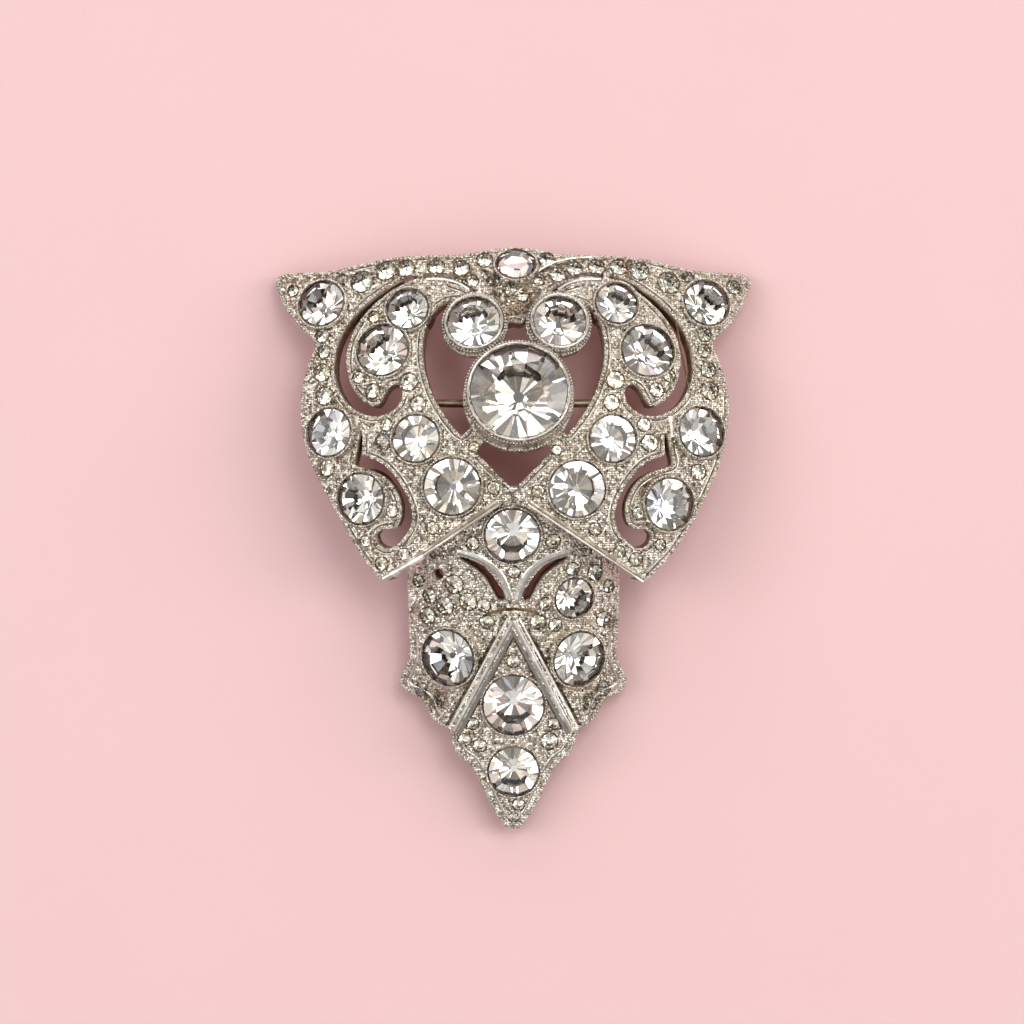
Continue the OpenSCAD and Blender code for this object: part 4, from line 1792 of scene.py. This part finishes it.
@dataclass
class ChipField:
    """Small glittering chips of metal and glass that cover the casting between its stones."""

    palette: Palette
    face: Face
    width: float = 41.4
    height: float = 50.4
    spacing: float = 0.42
    row_share: float = 0.87
    jitter: float = 0.13
    bare_share: float = 0.06
    edge_room: float = 0.6
    probes: int = 6
    low: float = 0.12
    high: float = 0.2
    large_low: float = 0.22
    large_high: float = 0.3
    large_share: float = 0.09
    narrowest: float = 0.7
    flat: float = 0.8
    turn_most: float = 6.3
    tip_most: float = 3.0
    lift: float = 0.02
    clear: float = 0.5
    strip_room: float = 0.14
    strip_pitch: float = 0.1
    seed: int = 21
    strips: KDTree = field(init=False)
    widths: list[float] = field(init=False)

    def __post_init__(self) -> None:
        """Notes where the strips run, so that the chips keep off them."""
        spots: list[tuple[float, float, float]] = []
        for strip in STRIPS:
            for knots in strip.lines:
                line = smooth_line(knots)
                for a, b in zip(line, line[1:]):
                    count = max(1, round(math.dist(a, b) / self.strip_pitch))
                    for i in range(count):
                        x, y = (p + (q - p) * i / count for p, q in zip(a, b))
                        spots += [(side * x, y, strip.width) for side in strip.sides]
        self.strips = KDTree(len(spots))
        self.widths = [width for _, _, width in spots]
        for index, (x, y, _) in enumerate(spots):
            self.strips.insert((x, y, 0.0), index)
        self.strips.balance()

    def _on_strip(self, x: float, y: float) -> bool:
        """Whether a place lies on a strip."""
        _, index, away = self.strips.find((x, y, 0.0))
        return away < self.widths[index] / 2 + self.strip_room

    def _clear(self, x: float, y: float) -> bool:
        """Whether the face goes on all round a place.

        Args:
            x: place to the right.
            y: place towards the rim.

        Returns:
            True where it does.
        """
        for i in range(self.probes):
            angle = 2 * i * math.pi / self.probes
            across, along = self.edge_room * math.cos(angle), self.edge_room * math.sin(angle)
            if self.face.hit(x + across, y + along) is None:
                return False
        return True

    def _add(self, bm: Mesh, place: Vector, normal: Vector, chance: random.Random) -> None:
        """Adds one chip.

        Args:
            bm: the mesh that it joins.
            place: its place on the face.
            normal: the face's normal there.
            chance: where its size and turn are drawn from.
        """
        large = chance.random() < self.large_share
        size = chance.uniform(*((self.large_low, self.large_high) if large else (self.low, self.high)))
        shape = Matrix.Diagonal((size, size * chance.uniform(self.narrowest, 1.0), size * self.flat, 1.0))
        turn = Matrix.Rotation(chance.uniform(0, self.turn_most), 4, "Z")
        turn = turn @ Matrix.Rotation(chance.uniform(0, self.tip_most), 4, "X")
        matrix = Matrix.Translation(place + normal * self.lift) @ turned_to(normal) @ shape @ turn
        bmesh.ops.create_icosphere(bm, subdivisions=1, radius=1.0, matrix=matrix)

    def build(self) -> None:
        """Scatters the chips."""
        chance = random.Random(self.seed)
        beads = {Panel.DOME: bmesh.new(), Panel.TAIL: bmesh.new(), Panel.LEAF: bmesh.new()}
        left, low = -self.width / 2, -self.height / 2
        for row in range(int(self.height / (self.spacing * self.row_share))):
            for column in range(int(self.width / self.spacing)):
                x = left + (column + 0.5 * (row % 2)) * self.spacing
                x += chance.uniform(-self.jitter, self.jitter)
                y = low + row * self.spacing * self.row_share
                y += chance.uniform(-self.jitter, self.jitter)
                if chance.random() < self.bare_share:
                    continue
                found = self.face.hit(x, y)
                if found is None or self._on_strip(x, y):
                    continue
                if self.face.near_stone(found[0], self.clear) or not self._clear(x, y):
                    continue
                self._add(beads[FORM.panel_at(x, y)], *found, chance)
        for panel, bm in beads.items():
            finish_piece(bm, f"chips_{panel.value}", [self.palette.chips])


@dataclass(frozen=True)
class Lamp:
    """A soft box: its place and size in metres, its power in watts and its colour."""

    name: str
    place: tuple[float, float, float]
    size: Span
    watts: float
    colour: Colour


LAMPS = (
    Lamp("key", (0.3, 0.38, 1.14), (0.6, 0.55), 3.75, (0.99, 1.0, 0.985)),
    Lamp("side", (0.75, 0.1, 0.55), (0.35, 0.6), 2.2, (1.0, 0.98, 0.95)),
    Lamp("rim", (0.0, 0.85, 0.3), (1.2, 0.6), 2.9, (1.0, 0.99, 0.97)),
    Lamp("fill", (-0.55, 0.12, 0.7), (0.35, 0.6), 1.9, (0.97, 0.98, 1.0)),
    Lamp("low", (-0.05, -0.5, 0.85), (0.6, 0.25), 0.3, (1.0, 0.96, 0.92)),
)


@dataclass
class Studio:
    """Paper, lights and camera."""

    scale_px: float = 11.65
    image_px: float = 1024.0
    middle: tuple[float, float] = (-0.13, 2.32)
    level: float = 7.0
    distance: float = 900.0
    aim: tuple[float, float, float] = (0.0, 0.0, 0.005)
    paper_half: float = 0.9
    paper_drop: float = 0.00002
    sensor: float = 36.0
    room: tuple[tuple[float, float], ...] = (
        (0.0, 0.42), (0.4, 0.46), (0.65, 0.66), (0.8, 1.0), (0.95, 1.1), (0.99, 0.97),
    )
    patch: float = 0.24
    patch_dark: float = 0.22
    patch_span: Span = (0.42, 0.6)
    tint_size: float = 0.7
    tint_span: Span = (0.4, 0.62)
    high_span: Span = (0.75, 0.97)
    high_share: float = 0.5
    cool: Colour = (0.93, 0.97, 1.03)
    warm: Colour = (1.03, 0.92, 0.8)

    def floor(self) -> None:
        """Lays the paper."""
        bm = bmesh.new()
        bmesh.ops.create_grid(bm, x_segments=8, y_segments=8, size=self.paper_half)
        bmesh.ops.translate(bm, vec=Vector((0, 0, -self.paper_drop)), verts=bm.verts)
        mesh = bpy.data.meshes.new("paper")
        bm.to_mesh(mesh)
        bm.free()
        mesh.materials.append(PinkPaper().build())
        paper = bpy.data.objects.new("paper", mesh)
        bpy.context.scene.collection.objects.link(paper)

    def light(self, lamp: Lamp) -> None:
        """Hangs a soft box that faces the piece.

        Args:
            lamp: the soft box.
        """
        data = bpy.data.lights.new(lamp.name, "AREA")
        data.shape = "RECTANGLE"
        data.size, data.size_y = lamp.size
        data.energy = lamp.watts
        data.color = lamp.colour
        box = bpy.data.objects.new(lamp.name, data)
        box.location = lamp.place
        box.rotation_euler = (Vector(self.aim) - Vector(lamp.place)).to_track_quat("-Z", "Y").to_euler()
        bpy.context.scene.collection.objects.link(box)

    def camera(self) -> None:
        """Sets the camera straight above, so that the piece fills the frame as in the photo."""
        width = self.image_px / self.scale_px
        reach = self.distance - self.level
        data = bpy.data.cameras.new("camera")
        data.sensor_width = self.sensor
        data.lens = self.sensor * reach / width
        data.clip_start, data.clip_end = 0.01, 20.0
        eye = bpy.data.objects.new("camera", data)
        eye.location = (self.middle[0] * METRES, self.middle[1] * METRES, self.distance * METRES)
        bpy.context.scene.collection.objects.link(eye)
        bpy.context.scene.camera = eye

    def world(self) -> None:
        """Fills the room with dim, even light."""
        world = bpy.data.worlds.new("room")
        world.use_nodes = True
        nodes = Nodes(world.node_tree)
        toward = nodes.node("ShaderNodeTexCoord").outputs["Generated"]
        upward = nodes.split(toward)[2]
        stops = [(z, (v, v, v)) for z, v in self.room]
        ring = nodes.node("ShaderNodeValToRGB", {"stops": stops}, {0: upward})
        patches = nodes.cloud(toward, self.patch, 1.0).ramp(*self.patch_span)
        bright = Signal(nodes, ring.outputs[0]) * (patches * (1.0 - self.patch_dark) + self.patch_dark)
        cloudy = nodes.cloud(toward, self.patch * self.tint_size, 0.0).ramp(*self.tint_span)
        tint = cloudy * (1.0 - self.high_share) + upward.ramp(*self.high_span) * self.high_share
        colour = nodes.node(
            "ShaderNodeMix", {"data_type": "RGBA"}, {0: tint, 6: (*self.cool, 1.0), 7: (*self.warm, 1.0)}
        )
        sky = nodes.node("ShaderNodeBackground", sockets={0: colour.outputs[2], 1: bright})
        nodes.node("ShaderNodeOutputWorld", sockets={"Surface": sky.outputs[0]})
        bpy.context.scene.world = world

    def build(self) -> None:
        """Sets up the studio."""
        self.floor()
        self.world()
        self.camera()
        for lamp in LAMPS:
            self.light(lamp)
        bpy.context.scene.view_settings.view_transform = "Standard"


def dress_nodes(palette: Palette) -> None:
    """Gives the CAD nodes that stay their materials.

    Args:
        palette: the materials.
    """
    for name, material in (("casting", palette.casting), ("pin_clasp", palette.pin)):
        node = frame["nodes"][name]
        node.data.materials.clear()
        node.data.materials.append(material)
        log.info("%s keeps its CAD shape", name)


def main() -> None:
    """Builds the whole scene in order."""
    logging.basicConfig(level=logging.INFO, format="%(name)s: %(message)s")
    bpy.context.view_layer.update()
    palette = Palette.make()
    dress_nodes(palette)
    main_seats = MainStones(palette).build()
    small_seats = SmallStones(palette).build()
    Settings(palette).build(main_seats, small_seats)
    face = Face(seats=[*main_seats.values(), *small_seats])
    BeadedEdges(palette, face).build()
    ChipField(palette, face).build()
    for strip in STRIPS:
        strip.build(palette)
    Studio().build()
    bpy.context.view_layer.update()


if __name__ == "__main__":
    main()
